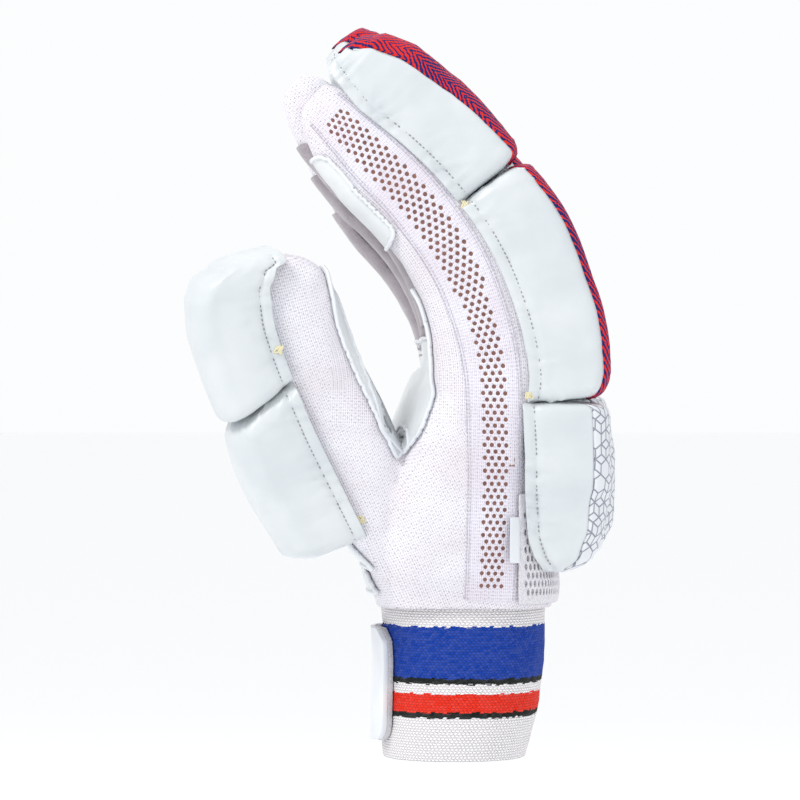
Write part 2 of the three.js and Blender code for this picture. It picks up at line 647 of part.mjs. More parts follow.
// Rolls on the fingers and the back of the hand, each with its crown.
const MESH_LIFT = GAP + SPACER_MESH;
const underBack = hand(MESH_LIFT + GAP);
fingers.forEach((finger) => {
  const read = (t, column) => between(FINGER_SECTIONS, 'along', t, column);
  const seat = (t) => finger.depth * (read(t, 'depth') / 2 + read(t, 'rise'));
  const cuts = [finger.solid(GAP), handSeat];
  const joint = ROLL_JOINT / 2 / finger.length;
  const tip = rollSections(finger.path, ROLL_SPLIT + joint, ROLL_TIP, seat, TIP_ROLL,
    ROLL_BREADTH, ROLL_HEIGHT);
  crownedRoll(`${finger.name}_tip`, tip, cuts, ZIGZAG_COLOUR);
  const knuckle = rollSections(finger.path, ROLL_FROM, ROLL_SPLIT - joint, seat, KNUCKLE_ROLL,
    ROLL_BREADTH, ROLL_HEIGHT);
  crownedRoll(`${finger.name}_knuckle`, knuckle, cuts, ZIGZAG_COLOUR);
  const top = KNUCKLE_HEIGHT + finger.rise + ROLL_FROM * finger.length - ROLL_JOINT;
  const backPath = (t) => {
    const y = finger.y * between(BACK_SPREAD, 'along', t, 'pitch');
    const z = top + (t - 1) * BACK_ROLL_LENGTH;
    return {
      point: new THREE.Vector3(handBack(y, z), y, z),
      forward: new THREE.Vector3(0, 0, 1),
      back: new THREE.Vector3(1, 0, 0),
      side: new THREE.Vector3(0, 1, 0),
    };
  };
  const back = rollSections(backPath, 0, 1, () => 0, BACK_ROLL, ROLL_BREADTH, BACK_ROLL_HEIGHT);
  crownedRoll(`${finger.name}_back`, back, [underBack, finger.solid(GAP, 8)], HEX_COLOUR);
});

// Thumb guard, in two pads on the back of the thumb.
const thumbBack = (t) => {
  const at = thumbPath(t);
  return { ...at, back: at.back.clone().negate(), side: at.side.clone().negate() };
};
const thumbSeat = (t) => (THUMB.depth / 2) * between(THUMB_SECTIONS, 'along', t, 'depth') - 1;
const thumbJoint = ROLL_JOINT / 2 / THUMB.length;
const thumbCuts = [thumb(GAP), hand(PATCH_LIFT + GAP)];
[
  ['thumb_base_pad', THUMB_PADS.from, THUMB_PADS.split - thumbJoint, THUMB_BASE_PAD],
  ['thumb_tip_pad', THUMB_PADS.split + thumbJoint, THUMB_PADS.to, THUMB_TIP_PAD],
].forEach(([name, from, to, table]) => {
  const sections = rollSections(thumbBack, from, to, thumbSeat, table, THUMB_PAD_BREADTH, THUMB_PAD_HEIGHT);
  const pad = thumbCuts.reduce((solid, cut) => solid.subtract(cut), rollBody(sections, 0));
  piece(name, largest(pad), PAD_COLOUR, 0.45);
});

// Spacer mesh over the heel of the back of the hand.
const heelBlock = block(new THREE.Vector3(SPACER_EDGE, -70, HAND_FROM),
  new THREE.Vector3(70, 70, HAND_FROM + SPACER_HEIGHT));
piece('spacer_mesh', largest(hand(MESH_LIFT).subtract(hand(GAP)).intersect(heelBlock)), KNIT_COLOUR, 0.9);

// Wristband and its fastening tab.
piece('wristband', band(0).subtract(band(-BAND_WALL, 5)), BAND_COLOUR, 0.85);
const tabBlock = block(new THREE.Vector3(-60, -TAB_BREADTH / 2, TAB_RISE),
  new THREE.Vector3(0, TAB_BREADTH / 2, TAB_RISE + TAB_HEIGHT));
const tab = band(GAP + TAB_THICK).subtract(band(GAP)).intersect(tabBlock);
piece('strap_tab', largest(tab), PAD_COLOUR, 0.5);

// Folded label tab, sewn into the seam and lying over the spacer mesh's edge.
const labelRow = (z) => {
  const corner = (x, out) => new THREE.Vector3(x, -thumbSide(x, z) - out, z);
  const [low, high] = [SPACER_EDGE - LABEL_BREADTH * 0.8, SPACER_EDGE + LABEL_BREADTH * 0.2];
  const near = MESH_LIFT + GAP * 1.5;
  const far = near + LABEL_THICK;
  return [corner(high, near), corner(low, near), corner(low, far), corner(high, far)];
};
const label = loft([0, 0.5, 1].map((share) => labelRow(LABEL_RISE + LABEL_HEIGHT * share)));
piece('label_tab', largest(label.subtract(underBack)), LABEL_COLOUR, 0.5);

const glove = new THREE.Group();
glove.name = 'batting_glove';
glove.add(...pieces);
export default glove;
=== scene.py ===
# Looks of a right-hand cricket batting glove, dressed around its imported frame.
# Sizes are in millimetres and angles in degrees until a mesh is made, which is in metres.
import json
import math

import bmesh
import bpy
import numpy as np
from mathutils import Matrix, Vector, noise
from mathutils.bvhtree import BVHTree

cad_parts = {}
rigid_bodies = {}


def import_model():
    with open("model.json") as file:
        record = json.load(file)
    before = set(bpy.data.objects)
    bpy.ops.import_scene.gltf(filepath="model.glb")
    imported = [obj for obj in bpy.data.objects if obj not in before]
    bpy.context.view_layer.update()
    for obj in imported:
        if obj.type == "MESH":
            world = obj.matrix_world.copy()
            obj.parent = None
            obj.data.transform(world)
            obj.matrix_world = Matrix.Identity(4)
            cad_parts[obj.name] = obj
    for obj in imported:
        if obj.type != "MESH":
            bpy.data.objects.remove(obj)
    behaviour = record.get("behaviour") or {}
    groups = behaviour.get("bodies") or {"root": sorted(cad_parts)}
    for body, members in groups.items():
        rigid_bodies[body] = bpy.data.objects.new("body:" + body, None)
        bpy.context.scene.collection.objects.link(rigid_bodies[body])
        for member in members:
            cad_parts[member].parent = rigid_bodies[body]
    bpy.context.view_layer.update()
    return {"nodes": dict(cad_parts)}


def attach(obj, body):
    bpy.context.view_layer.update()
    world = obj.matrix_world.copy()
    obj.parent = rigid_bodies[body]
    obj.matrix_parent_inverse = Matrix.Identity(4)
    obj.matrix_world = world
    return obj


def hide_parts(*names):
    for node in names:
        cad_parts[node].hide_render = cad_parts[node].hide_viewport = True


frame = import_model()
mm = 0.001
fingerNames = ("index", "middle", "ring", "little")
print("frame loaded:", len(frame["nodes"]), "nodes")

# The glove's own sizes, as its solids have them.
glove = {
    "bandHeight": 61, "bandDepth": 63, "bandBreadth": 70, "bandWall": 2.4, "bandLean": 3.6, "bandPower": 2.3,
    "handFrom": 57, "handLength": 92, "handDepth": 76, "handBreadth": 103, "handPower": 3,
    "knuckleTurn": 7, "knuckleDrop": 6, "knuckleHeight": 136,
    "fingerPitch": 26, "fingerBreadth": 24, "fingerPower": 3.6,
    "rollBreadth": 25, "rollHeight": 28, "rollJoint": 1.2, "crownDepth": 8, "crownRound": 0.8,
    "backRollHeight": 28, "backRollLength": 62, "rollSplit": 0.51, "rollTip": 1.03, "rollFrom": -0.01,
    "thumbPadBreadth": 33, "thumbPadHeight": 24,
}
fingers = {
    "index": {"column": -1.5, "length": 132, "depth": 39, "offset": 11.3, "rise": 0, "lean": (-2, 49)},
    "middle": {"column": -0.5, "length": 138, "depth": 37, "offset": 8.5, "rise": 3, "lean": (-1, 50)},
    "ring": {"column": 0.5, "length": 125, "depth": 34, "offset": 7, "rise": 2, "lean": (-1, 50)},
    "little": {"column": 1.5, "length": 109, "depth": 29, "offset": 4, "rise": -3, "lean": (-1, 46)},
}
thumb = {"root": (-22.5, -26, 82), "length": 114, "depth": 31, "breadth": 28, "roll": 12, "lean": (26, 11),
         "drift": -22, "power": 2.8, "padFrom": 0.08, "padSplit": 0.62, "padTo": 1.03}

# Each table's columns are lists of the same length, read between their values.
fingerBend = {"along": (0, .25, .48, .68, 1), "bend": (0, .38, .74, .97, 1)}
thumbBend = {"along": (0, .5, .66, .84, 1), "bend": (0, .05, .35, .85, 1)}
fingerSections = {
    "along": (-.1, .05, .25, .5, .72, .87, .96, 1), "depth": (.86, 1, .9, .85, .85, .73, .55, .3),
    "breadth": (1, 1, 1, 1, 1, .96, .8, .46), "rise": (0, 0, 0, 0, 0, .03, .08, .12),
}
thumbSections = {
    "along": (-.08, .1, .45, .65, .82, .93, .985, 1), "depth": (.78, 1.04, 1.06, 1, 1, .9, .62, .3),
    "breadth": (.78, 1.05, 1.03, .98, 1, .9, .66, .36), "rise": (0, 0, .02, .02, 0, 0, -.04, -.08),
}
handSections = {
    "along": (0, .05, .13, .27, .44, .62, .8, .93, 1),
    "middle": (.054, .046, .03, -.005, 0, .03, .055, .07, .08),
    "depth": (.86, .91, .94, .93, .85, .74, .63, .54, .48),
    "breadth": (.715, .745, .83, .9, .95, .98, 1, 1, .98),
    "turn": (0, 0, 0, .05, .4, .7, .9, 1, 1), "drop": (0, 0, 0, 0, 0, .2, .6, .9, 1),
}
bandSections = {"along": (0, .06, .3, .6, 1), "middle": (.05, .15, .75, 1.15, 1),
                "depth": (.86, .89, .94, .97, 1), "breadth": (.93, .95, .98, 1, 1)}
rollTables = {
    "tip": {"along": (0, .05, .4, .72, .88, .97, 1), "high": (.86, .94, .98, .97, .9, .82, .72),
            "broad": (.93, 1, 1, 1, .96, .84, .66), "skew": (0, 0, 0, 0, 0, 0, 0),
            "lift": (0, 0, 0, 0, .12, .3, .42), "lap": (.3, .35, .7, .9, .95, .95, .95)},
    "knuckle": {"along": (0, .06, .35, .7, .94, 1), "high": (.82, .9, .95, .96, .93, .84),
                "broad": (.93, 1, 1, 1, 1, .93), "skew": (.1, .1, 0, 0, 0, 0),
                "lift": (0, 0, 0, 0, 0, 0), "lap": (.3, .3, .3, .3, .3, .3)},
    "back": {"along": (0, .07, .22, .5, .95, 1), "high": (.48, .68, .87, .98, .99, .92),
             "broad": (.7, .8, .84, .93, 1, .94), "skew": (0, 0, 0, 0, 0, 0),
             "lift": (.14, .05, 0, 0, 0, 0), "lap": (.6, .7, .8, .8, .8, .7)},
    "thumbBase": {"along": (0, .07, .5, .93, 1), "high": (.84, 1, 1.04, 1, .88),
                  "broad": (.86, .97, 1, .98, .9), "skew": (.1, .1, 0, -.27, -.27), "lift": (0, 0, 0, 0, 0)},
    "thumbTip": {"along": (0, .08, .45, .85, .97, 1), "high": (.94, 1.03, 1.02, 1, .93, .76),
                 "broad": (.9, .98, 1, .98, .9, .74), "skew": (-.27, -.27, 0, 0, 0, 0),
                 "lift": (0, 0, 0, 0, .05, .12)},
}
backSpread = {"along": (0, .5, 1), "pitch": (.79, .92, 1)}


def read(table, column, at, blur=0.0):
    # blur rounds the corners between a table's straight stretches
    at = np.asarray(at, float)
    shifts = np.linspace(-blur, blur, 7) if blur else (0,)
    return np.mean([np.interp(at + s, table["along"], table[column]) for s in shifts], axis=0)


def unit(v):
    return v / np.linalg.norm(v, axis=-1, keepdims=True)


def turned(v, axis, degrees):
    c, s = math.cos(math.radians(degrees)), math.sin(math.radians(degrees))
    return v * c + np.cross(axis, v) * s + axis * np.sum(axis * v, axis=-1, keepdims=True) * (1 - c)


# The centre line of a finger or thumb: places on it, and the ways forward, out of its back and across.
def bentPath(root, length, bend, lean, drift=0, roll=0):
    steps = 64

    def ahead(t):
        angle = np.radians(lean[0] + (lean[1] - lean[0]) * read(bend, "bend", t))
        return np.stack([-np.sin(angle), np.full_like(angle, drift / length), np.cos(angle)], -1), angle

    middles = (np.arange(steps) + 0.5) / steps
    walk = np.cumsum(ahead(middles)[0] * length / steps, axis=0)
    points = np.vstack([[root], np.array(root) + walk])

    def place(t):
        t = np.atleast_1d(np.asarray(t, float))
        i = np.clip(np.floor(t * steps).astype(int), 0, steps - 1)
        way, angle = ahead(t)
        point = points[i] + way * ((t - i / steps) * length)[:, None]
        forward = unit(way)
        back = np.stack([np.cos(angle), np.zeros_like(angle), np.sin(angle)], -1)
        side = unit(np.cross(forward, back))
        back = turned(np.cross(side, forward), forward, roll)
        return {"point": point, "forward": forward, "back": back, "side": turned(side, forward, roll)}

    return place


for name, finger in fingers.items():
    finger["y"] = finger["column"] * glove["fingerPitch"]
    root = (finger["offset"], finger["y"], glove["knuckleHeight"] + finger["rise"])
    finger["path"] = bentPath(root, finger["length"], fingerBend, finger["lean"])
thumb["path"] = bentPath(thumb["root"], thumb["length"], thumbBend, thumb["lean"], thumb["drift"],
                         thumb["roll"])
indexPath, thumbPath = fingers["index"]["path"], thumb["path"]


def linked(name, data):
    thing = bpy.data.objects.new(name, data)
    bpy.context.scene.collection.objects.link(thing)
    return thing


def makeSmooth(mesh):
    mesh.polygons.foreach_set("use_smooth", [True] * len(mesh.polygons))


def setFlat(piece, flats):
    layer = piece.data.uv_layers.get("flat") or piece.data.uv_layers.new(name="flat")
    layer.data.foreach_set("uv", (np.asarray(flats, float) * mm).ravel())


# A mesh from points in millimetres. Where a pattern follows it, flat has a coordinate for each
# point, or for each corner of each face.
def makePiece(name, points, faces, finish=None, flat=None):
    mesh = bpy.data.meshes.new(name)
    corners = [tuple(p) for p in np.asarray(points, float) * mm]
    mesh.from_pydata(corners, [], [tuple(map(int, face)) for face in faces])
    makeSmooth(mesh)
    mesh.update()
    piece = linked(name, mesh)
    if flat is not None:
        perPoint = len(flat) == len(points)
        setFlat(piece, [flat[i] for face in faces for i in face] if perPoint else flat)
    if finish:
        mesh.materials.append(finish)
    return piece


def faceOut(piece, filled=False):
    shape = bmesh.new()
    shape.from_mesh(piece.data)
    bmesh.ops.recalc_face_normals(shape, faces=shape.faces)
    if filled and shape.calc_volume(signed=True) < 0:
        bmesh.ops.reverse_faces(shape, faces=shape.faces)
    shape.to_mesh(piece.data)
    shape.free()
    makeSmooth(piece.data)
    return piece


# Quads between neighbouring rings of points. A ring that isn't closed is a strip.
def ringFaces(rings, sides, closed=True, caps=False):
    columns = sides if closed else sides - 1
    faces = []
    for i in range(rings - 1):
        for j in range(columns):
            k = (j + 1) % sides
            faces.append((i * sides + j, i * sides + k, (i + 1) * sides + k, (i + 1) * sides + j))
    if caps:
        # each end is closed from side to side, so that a hollowed ring closes as well
        for first in (0, (rings - 1) * sides):
            for j in range((sides - 1) // 2):
                rung = (first + j, first + j + 1, first + sides - 2 - j, first + sides - 1 - j)
                faces.append(tuple(dict.fromkeys(rung)))
    return faces


def roundedRing(centre, u, v, halfU, halfV, power, sides):
    angle = (np.arange(sides) + 0.5) / sides * 2 * np.pi
    c, s = np.cos(angle), np.sin(angle)
    side = np.sign(c) * np.abs(c) ** (2 / power)
    front = np.sign(s) * np.abs(s) ** (2 / power)
    return (centre[:, None] + u[:, None] * (side[None] * halfU[:, None])[..., None]
            + v[:, None] * (front[None] * halfV[:, None])[..., None])


# Runs a modifier and keeps what it made.
def settle(piece):
    graph = bpy.context.evaluated_depsgraph_get()
    graph.update()
    made = bpy.data.meshes.new_from_object(piece.evaluated_get(graph), depsgraph=graph)
    piece.modifiers.clear()
    old = piece.data
    piece.data = made
    bpy.data.meshes.remove(old)
    piece.data.name = piece.name
    return piece


def applied(piece, kind, **settings):
    modifier = piece.modifiers.new(kind.lower(), kind)
    for key, value in settings.items():
        setattr(modifier, key, value)
    return settle(piece)


def pointsOf(mesh):
    co = np.empty(len(mesh.vertices) * 3)
    mesh.vertices.foreach_get("co", co)
    return co.reshape(-1, 3) / mm


def setPoints(mesh, points):
    mesh.vertices.foreach_set("co", (np.asarray(points) * mm).ravel())
    mesh.update()


def normalsOf(mesh):
    normals = np.empty(len(mesh.vertices) * 3)
    mesh.vertex_normals.foreach_get("vector", normals)
    return normals.reshape(-1, 3)


def verticesOf(mesh):
    # the vertex at each corner of each face
    loops = np.empty(len(mesh.loops), int)
    mesh.loops.foreach_get("vertex_index", loops)
    return loops


# Evens out a mesh without shrinking it.
def relax(mesh, rounds, give=0.5):
    edges = np.empty(len(mesh.edges) * 2, int)
    mesh.edges.foreach_get("vertices", edges)
    a, b = edges.reshape(-1, 2).T
    count = np.bincount(np.concatenate([a, b]), minlength=len(mesh.vertices))[:, None]
    points = pointsOf(mesh)
    for step in range(rounds * 2):
        pull = np.zeros_like(points)
        np.add.at(pull, a, points[b])
        np.add.at(pull, b, points[a])
        points += (pull / np.maximum(count, 1) - points) * (give if step % 2 == 0 else -give * 1.04)
    setPoints(mesh, points)


# One output of a node, so that shader maths reads as an expression.
class Wire:
    def __init__(self, board, socket):
        self.board = board
        self.socket = socket

    def maths(self, operation, *others):
        return self.board.node("ShaderNodeMath", {"operation": operation}, (self, *others))

    def __add__(self, other):
        return self.maths("ADD", other)

    def __sub__(self, other):
        return self.maths("SUBTRACT", other)

    def __rsub__(self, other):
        return self.board.node("ShaderNodeMath", {"operation": "SUBTRACT"}, (other, self))

    def __mul__(self, other):
        return self.maths("MULTIPLY", other)

    def __truediv__(self, other):
        return self.maths("DIVIDE", other)

    def __lt__(self, other):
        return self.maths("LESS_THAN", other)

    def __gt__(self, other):
        return self.maths("GREATER_THAN", other)

    def __abs__(self):
        return self.maths("ABSOLUTE")

    __radd__ = __add__
    __rmul__ = __mul__

    def wave(self, pitch, shift=0.0):
        return (self * (2 * math.pi / pitch) + shift).maths("SINE")

    def other(self, name):
        return Wire(self.board, self.socket.node.outputs[name])


# A node tree being wired, for a finish or for a geometry tree.
class Board:
    def __init__(self, tree):
        self.tree = tree

    def node(self, kind, settings=None, values=(), out=0):
        made = self.tree.nodes.new(kind)
        for key, value in (settings or {}).items():
            if key == "stops":
                self.setStops(made.color_ramp, value)
            else:
                setattr(made, key, value)
        for key, value in values.items() if isinstance(values, dict) else enumerate(values):
            self.feed(made.inputs[key], value)
        return Wire(self, made.outputs[out])

    def feed(self, socket, value):
        if isinstance(value, Wire):
            self.tree.links.new(value.socket, socket)
        elif value is not None:
            socket.default_value = value

    def setStops(self, ramp, stops):
        ramp.interpolation, places = stops
        ramp.elements[0].position, ramp.elements[0].color = places[0]
        ramp.elements[1].position, ramp.elements[1].color = places[-1]
        for place, colour in places[1:-1]:
            ramp.elements.new(place).color = colour

    def between(self, low, high, value):
        return self.node("ShaderNodeMapRange", {"interpolation_type": "SMOOTHSTEP"},
                         {"Value": value, "From Min": low, "From Max": high})


def tint(code):
    # a screen colour as the linear one that shaders take
    parts = [int(code[i:i + 2], 16) / 255 for i in (1, 3, 5)]
    return tuple(p / 12.92 if p < 0.04045 else ((p + 0.055) / 1.055) ** 2.4 for p in parts) + (1.0,)


class Finish(Board):
    def __init__(self, name, colour, roughness, **fixed):
        self.material = bpy.data.materials.new(name)
        self.material.use_nodes = True
        super().__init__(self.material.node_tree)
        self.shader = self.tree.nodes["Principled BSDF"]
        self.set("Base Color", colour)
        self.set("Roughness", roughness)
        for key, value in fixed.items():
            self.set(key.replace("_", " "), value)
        self.bump = None

    def set(self, socket, value):
        self.feed(self.shader.inputs[socket], value)

    def flat(self):
        # the piece's own flat coordinate, in millimetres along and across it
        uv = self.node("ShaderNodeUVMap", {"uv_map": "flat"})
        parts = self.node("ShaderNodeSeparateXYZ", None, (uv,))
        return parts * (1 / mm), parts.other("Y") * (1 / mm)

    def place(self):
        coordinates = self.node("ShaderNodeTexCoord", out="Object")
        return self.node("ShaderNodeVectorMath", {"operation": "SCALE"}, {0: coordinates, "Scale": 1 / mm})

    def speckle(self, size, detail=2.0, roughness=0.5):
        return self.node("ShaderNodeTexNoise", None, {"Vector": self.place(), "Scale": 1 / size,
                                                      "Detail": detail, "Roughness": roughness})

    def chance(self, x, y=None):
        # a random number of its own for each value, or for each pair of values
        if y is None:
            return self.node("ShaderNodeTexWhiteNoise", {"noise_dimensions": "1D"}, {"W": x})
        pair = self.node("ShaderNodeCombineXYZ", None, (x, y, 0.0))
        return self.node("ShaderNodeTexWhiteNoise", {"noise_dimensions": "2D"}, {"Vector": pair})

    def mix(self, factor, a, b):
        made = self.tree.nodes.new("ShaderNodeMix")
        made.data_type = "RGBA"
        for socket, value in zip((made.inputs[0], made.inputs[6], made.inputs[7]), (factor, a, b)):
            self.feed(socket, value)
        return Wire(self, made.outputs[2])

    def relief(self, height, depth, strength=1.0):
        # height runs from 0 to 1 and depth is its real depth
        bump = self.tree.nodes.new("ShaderNodeBump")
        bump.inputs["Strength"].default_value = strength
        bump.inputs["Distance"].default_value = depth * mm
        self.feed(bump.inputs["Height"], height)
        if self.bump:
            self.tree.links.new(self.bump, bump.inputs["Normal"])
        self.bump = bump.outputs[0]
        self.tree.links.new(self.bump, self.shader.inputs["Normal"])


# The camera stands level in front of the thumb side, where the photographer stood.
view = {"centre": (-20.35, 0, 134.7), "distance": 1400, "lens": 165.4, "sensor": 36}


def placeCamera():
    camera = linked("camera", bpy.data.cameras.new("camera"))
    camera.data.lens = view["lens"]
    camera.data.sensor_width = view["sensor"]
    x, y, z = view["centre"]
    camera.location = (x * mm, (y - view["distance"]) * mm, z * mm)
    camera.rotation_euler = (math.radians(90), 0, 0)
    bpy.context.scene.camera = camera


studio = {
    "floorDrop": 150, "floorHalf": 30000, "floorPaint": "#FBFCFD", "exposure": 0.5,
    "sky": 0.70, "skyColour": (0.985, 0.99, 1, 1),
    "lamps": {
        # place, watts, size and colour of each soft lamp, all turned to the glove
        "key": ((-700, -640, 980), 5.5, 380, (1, 0.985, 0.96)),
        "fill": ((860, -700, 200), 0.7, 700, (0.93, 0.96, 1)),
        "rim": ((200, 700, 900), 2.0, 500, (1, 1, 1)),
    },
}


def lightStudio():
    world = bpy.data.worlds.new("studio")
    world.use_nodes = True
    sky = world.node_tree.nodes["Background"].inputs
    sky["Color"].default_value = studio["skyColour"]
    sky["Strength"].default_value = studio["sky"]
    bpy.context.scene.world = world
    target = Vector(view["centre"]) * mm
    for name, (place, power, size, colour) in studio["lamps"].items():
        lamp = linked(name, bpy.data.lights.new(name, "AREA"))
        lamp.data.energy, lamp.data.size, lamp.data.color = power, size * mm, colour
        lamp.location = Vector(place) * mm
        lamp.rotation_euler = (target - lamp.location).to_track_quat("-Z", "Y").to_euler()
    pale = Finish("floorPaint", tint(studio["floorPaint"]), 0.9)
    half, down = studio["floorHalf"], -studio["floorDrop"]
    corners = [(x * half, y * half, down) for x, y in ((-1, -1), (1, -1), (1, 1), (-1, 1))]
    floor = makePiece("floor", corners, [(0, 1, 2, 3)], pale.material)
    screen = bpy.context.scene.view_settings
    screen.view_transform, screen.exposure = "Standard", studio["exposure"]


placeCamera()
lightStudio()
print("camera and light set")


# Finishes.
def knitFinish(name, colour, pitch, course, dots, holes):
    # ribs run along the piece, courses across it, and rows of pinholes lie between the ribs
    knit = Finish(name, (1, 1, 1, 1), 0.85, Sheen_Weight=0.12, Sheen_Roughness=0.5)
    u, v = knit.flat()
    drift = knit.speckle(9) - 0.5
    across, along = u + drift * 0.5, v + drift * 0.5
    rib = abs(across.wave(pitch * 2))
    loop = abs((along + abs((across / pitch).maths("FRACT") - 0.5) * (course * 0.8)).wave(course * 2))
    weave = rib * 0.55 + loop * 0.45
    row = across / dots[0]
    stagger = (row.maths("FLOOR") * 0.5).maths("FRACT")
    inU, inV = row.maths("FRACT") - 0.5, (along / dots[1] + stagger).maths("FRACT") - 0.5
    own = knit.chance(row.maths("FLOOR"), (along / dots[1] + stagger).maths("FLOOR"))
    dot = 1 - knit.between(0.012, 0.05, inU * inU * 1.3 + inV * inV * 2.2)
    dot = dot * knit.between(0.1, 0.5, own)
    shade = knit.mix(knit.between(0.1, 0.8, weave), tint("#C6C0C8"), tint(colour))
    patch = knit.mix(knit.between(0.3, 0.7, knit.speckle(22, 3)), tint("#F2EEF1"), tint("#FAFBFE"))
    multiply = {"data_type": "RGBA", "blend_type": "MULTIPLY"}
    cloth = knit.node("ShaderNodeMix", multiply, {0: 1.0, 6: shade, 7: patch}, 2)
    # the pinholes are painted dark grey, which is painted shade inside the holes
    knit.set("Base Color", knit.mix(dot * holes, cloth, tint("#6F6C76")))
    knit.relief(weave - dot * 0.9, 0.2, 0.8)
    knit.relief(knit.speckle(4, 2), 0.3, 0.35)
    return knit.material


def leatherFinish(name, colour, shadow, grain=0.35, gloss=0.38):
    hide = Finish(name, tint(colour), gloss, Coat_Roughness=0.3, Specular_IOR_Level=0.45)
    cloudy = hide.speckle(26, 3)
    hide.set("Base Color", hide.mix(hide.between(0.3, 0.75, cloudy), tint(shadow), tint(colour)))
    hide.set("Roughness", hide.speckle(7, 4) * 0.16 + (gloss - 0.08))
    hide.set("Coat Weight", hide.between(0.25, 0.7, hide.speckle(12)) * 0.3)
    hide.relief(hide.speckle(grain * 2.2, 3), 0.05, 0.6)
    hide.relief(hide.node("ShaderNodeTexVoronoi", {"feature": "DISTANCE_TO_EDGE"},
                          {"Vector": hide.place(), "Scale": 1 / (grain * 2.6)}), 0.03, 0.5)
    hide.relief(cloudy, 0.9, 0.35)
    return hide.material


def suedeFinish(name, colour, shadow):
    suede = Finish(name, tint(colour), 0.95, Sheen_Weight=0.4, Sheen_Roughness=0.6)
    nap = suede.speckle(0.7, 5, roughness=0.7)
    suede.set("Base Color", suede.mix(suede.between(0.3, 0.7, nap * 0.6 + suede.speckle(7, 3) * 0.4),
                                      tint(shadow), tint(colour)))
    suede.relief(nap, 0.25, 0.8)
    return suede.material


def zigzagFinish():
    # chevrons of two yarns, with edges as ragged as the yarns are thick
    cloth = Finish("zigzagCloth", (1, 1, 1, 1), 0.75, Specular_IOR_Level=0.25)
    u, v = cloth.flat()
    yarn, pitch, slope, arms = 0.42, 2.5, 1.1, 5.6
    stepped = (v / yarn).maths("FLOOR") * yarn
    ragged = cloth.chance(stepped * 3.1) - 0.5
    sway = (cloth.speckle(9, 2) - 0.5) * 2.2
    arm = abs(((u + sway * 0.4) / (arms * 2) + 0.5).maths("FRACT") - 0.5) * (arms * 2)
    line = (v + arm * slope + sway + ragged * 0.7) / pitch
    share = 0.42 + (cloth.speckle(20) - 0.5) * 0.9
    blue = cloth.between(-0.05, 0.05, abs(line.maths("FRACT") - 0.5) * 2 - share)
    fleck = cloth.between(0.62, 0.7, cloth.speckle(0.8, 1))
    red = cloth.mix(fleck * 0.6, tint("#D8281A"), tint("#A01420"))
    cloth.set("Base Color", cloth.mix(blue, red, tint("#181C60")))
    weave = abs(v.wave(yarn * 2)) * 0.6 + abs((u + v * 0.5).wave(yarn * 2.4)) * 0.4
    cloth.relief(weave, 0.14, 0.8)
    cloth.relief(blue, 0.1, 0.5)
    return cloth.material


def hexagonFinish():
    # a field of hexagons, with three spokes in about half of them
    film = Finish("hexagonPrint", tint("#E9EAEE"), 0.42, Coat_Roughness=0.3)
    u, v = film.flat()
    breadth, line, far = 6.2, 0.36, 9
    slope = math.sqrt(3) / 2
    wide, tall = breadth, breadth * slope * 2

    def cell(shift):
        a, b = u / wide + shift, v / tall + shift
        number = a.maths("FLOOR") + b.maths("FLOOR") * 7.3
        return (a.maths("FRACT") - 0.5) * wide, (b.maths("FRACT") - 0.5) * tall, number

    ax, ay, an = cell(0.0)
    bx, by, bn = cell(0.5)
    nearA = (ax * ax + ay * ay) < (bx * bx + by * by)
    x, y = ax * nearA + bx * (1 - nearA), ay * nearA + by * (1 - nearA)
    number = an * nearA + (bn + 0.37) * (1 - nearA)
    edge = breadth / 2 - abs(x).maths("MAXIMUM", abs(x) * 0.5 + abs(y) * slope)
    chance = film.chance(number)
    up = y * ((chance > 0.5) * 2 - 1)
    upright, slanted = abs(x) + (up < 0) * far, abs(abs(x) * 0.5 + up * slope) + (up > 0) * far
    spokes = upright.maths("MINIMUM", slanted) + (chance.maths("FRACT") < 0.28) * far
    inked = 1 - film.between(line * 0.6, line, edge.maths("MINIMUM", spokes))
    film.set("Base Color", film.mix(inked, tint("#D4D7DC"), tint("#858A96")))
    film.set("Roughness", film.speckle(6, 3) * 0.15 + 0.36)
    film.relief(1 - inked, 0.12, 0.7)
    film.relief(film.speckle(0.8, 3), 0.05, 0.5)
    return film.material


stripes = {
    # upper edge of each stripe above the band's foot, and its yarn
    "white": "#F6F3F5", "blue": "#003CA6", "black": "#08130F", "orange": "#F02A0C",
    "order": (("white", 0), ("black", 16.0), ("orange", 18.2), ("white", 25.2), ("black", 28.6),
              ("blue", 30.8), ("white", 50.2)),
}


def elasticFinish():
    band = Finish("elasticWeave", (1, 1, 1, 1), 0.85, Specular_IOR_Level=0.2)
    u, v = band.flat()
    wide, tall, shadow = 1.42, 1.0, (0.01, 0.01, 0.015, 1)
    row = (v / tall).maths("FLOOR")
    shift = (row * 0.5).maths("FRACT") + band.chance(row) * 0.3
    slant = (v / tall).maths("FRACT") * 0.35
    column = u / wide + shift + slant
    inX = column.maths("FRACT") - 0.5
    inY = (v / tall).maths("FRACT") - 0.5
    bobble = band.between(0.0, 0.9, 1 - (inX * inX * 3.4 + inY * inY * 3.6))
    own = band.chance(column.maths("FLOOR"), row)
    level = (v + (own - 0.5) * 0.9) / glove["bandHeight"]
    stops = [(height / glove["bandHeight"], tint(stripes[yarn])) for yarn, height in stripes["order"]]
    yarn = band.node("ShaderNodeValToRGB", {"stops": ("CONSTANT", stops)}, (level,))
    # the yarn is painted darker in the hollows between the bobbles, which is painted shade; each bobble is
    # also paled a little at random
    lit = band.mix(band.between(0.0, 0.75, bobble), band.mix(0.24, yarn, shadow), yarn)
    wornAndShaded = band.mix(own * 0.1, lit, band.mix(0.3, lit, (1, 1, 1, 1)))
    band.set("Base Color", wornAndShaded)
    band.relief(bobble, 0.5, 1.0)
    band.relief(band.speckle(0.5, 2), 0.1, 0.5)
    return band.material


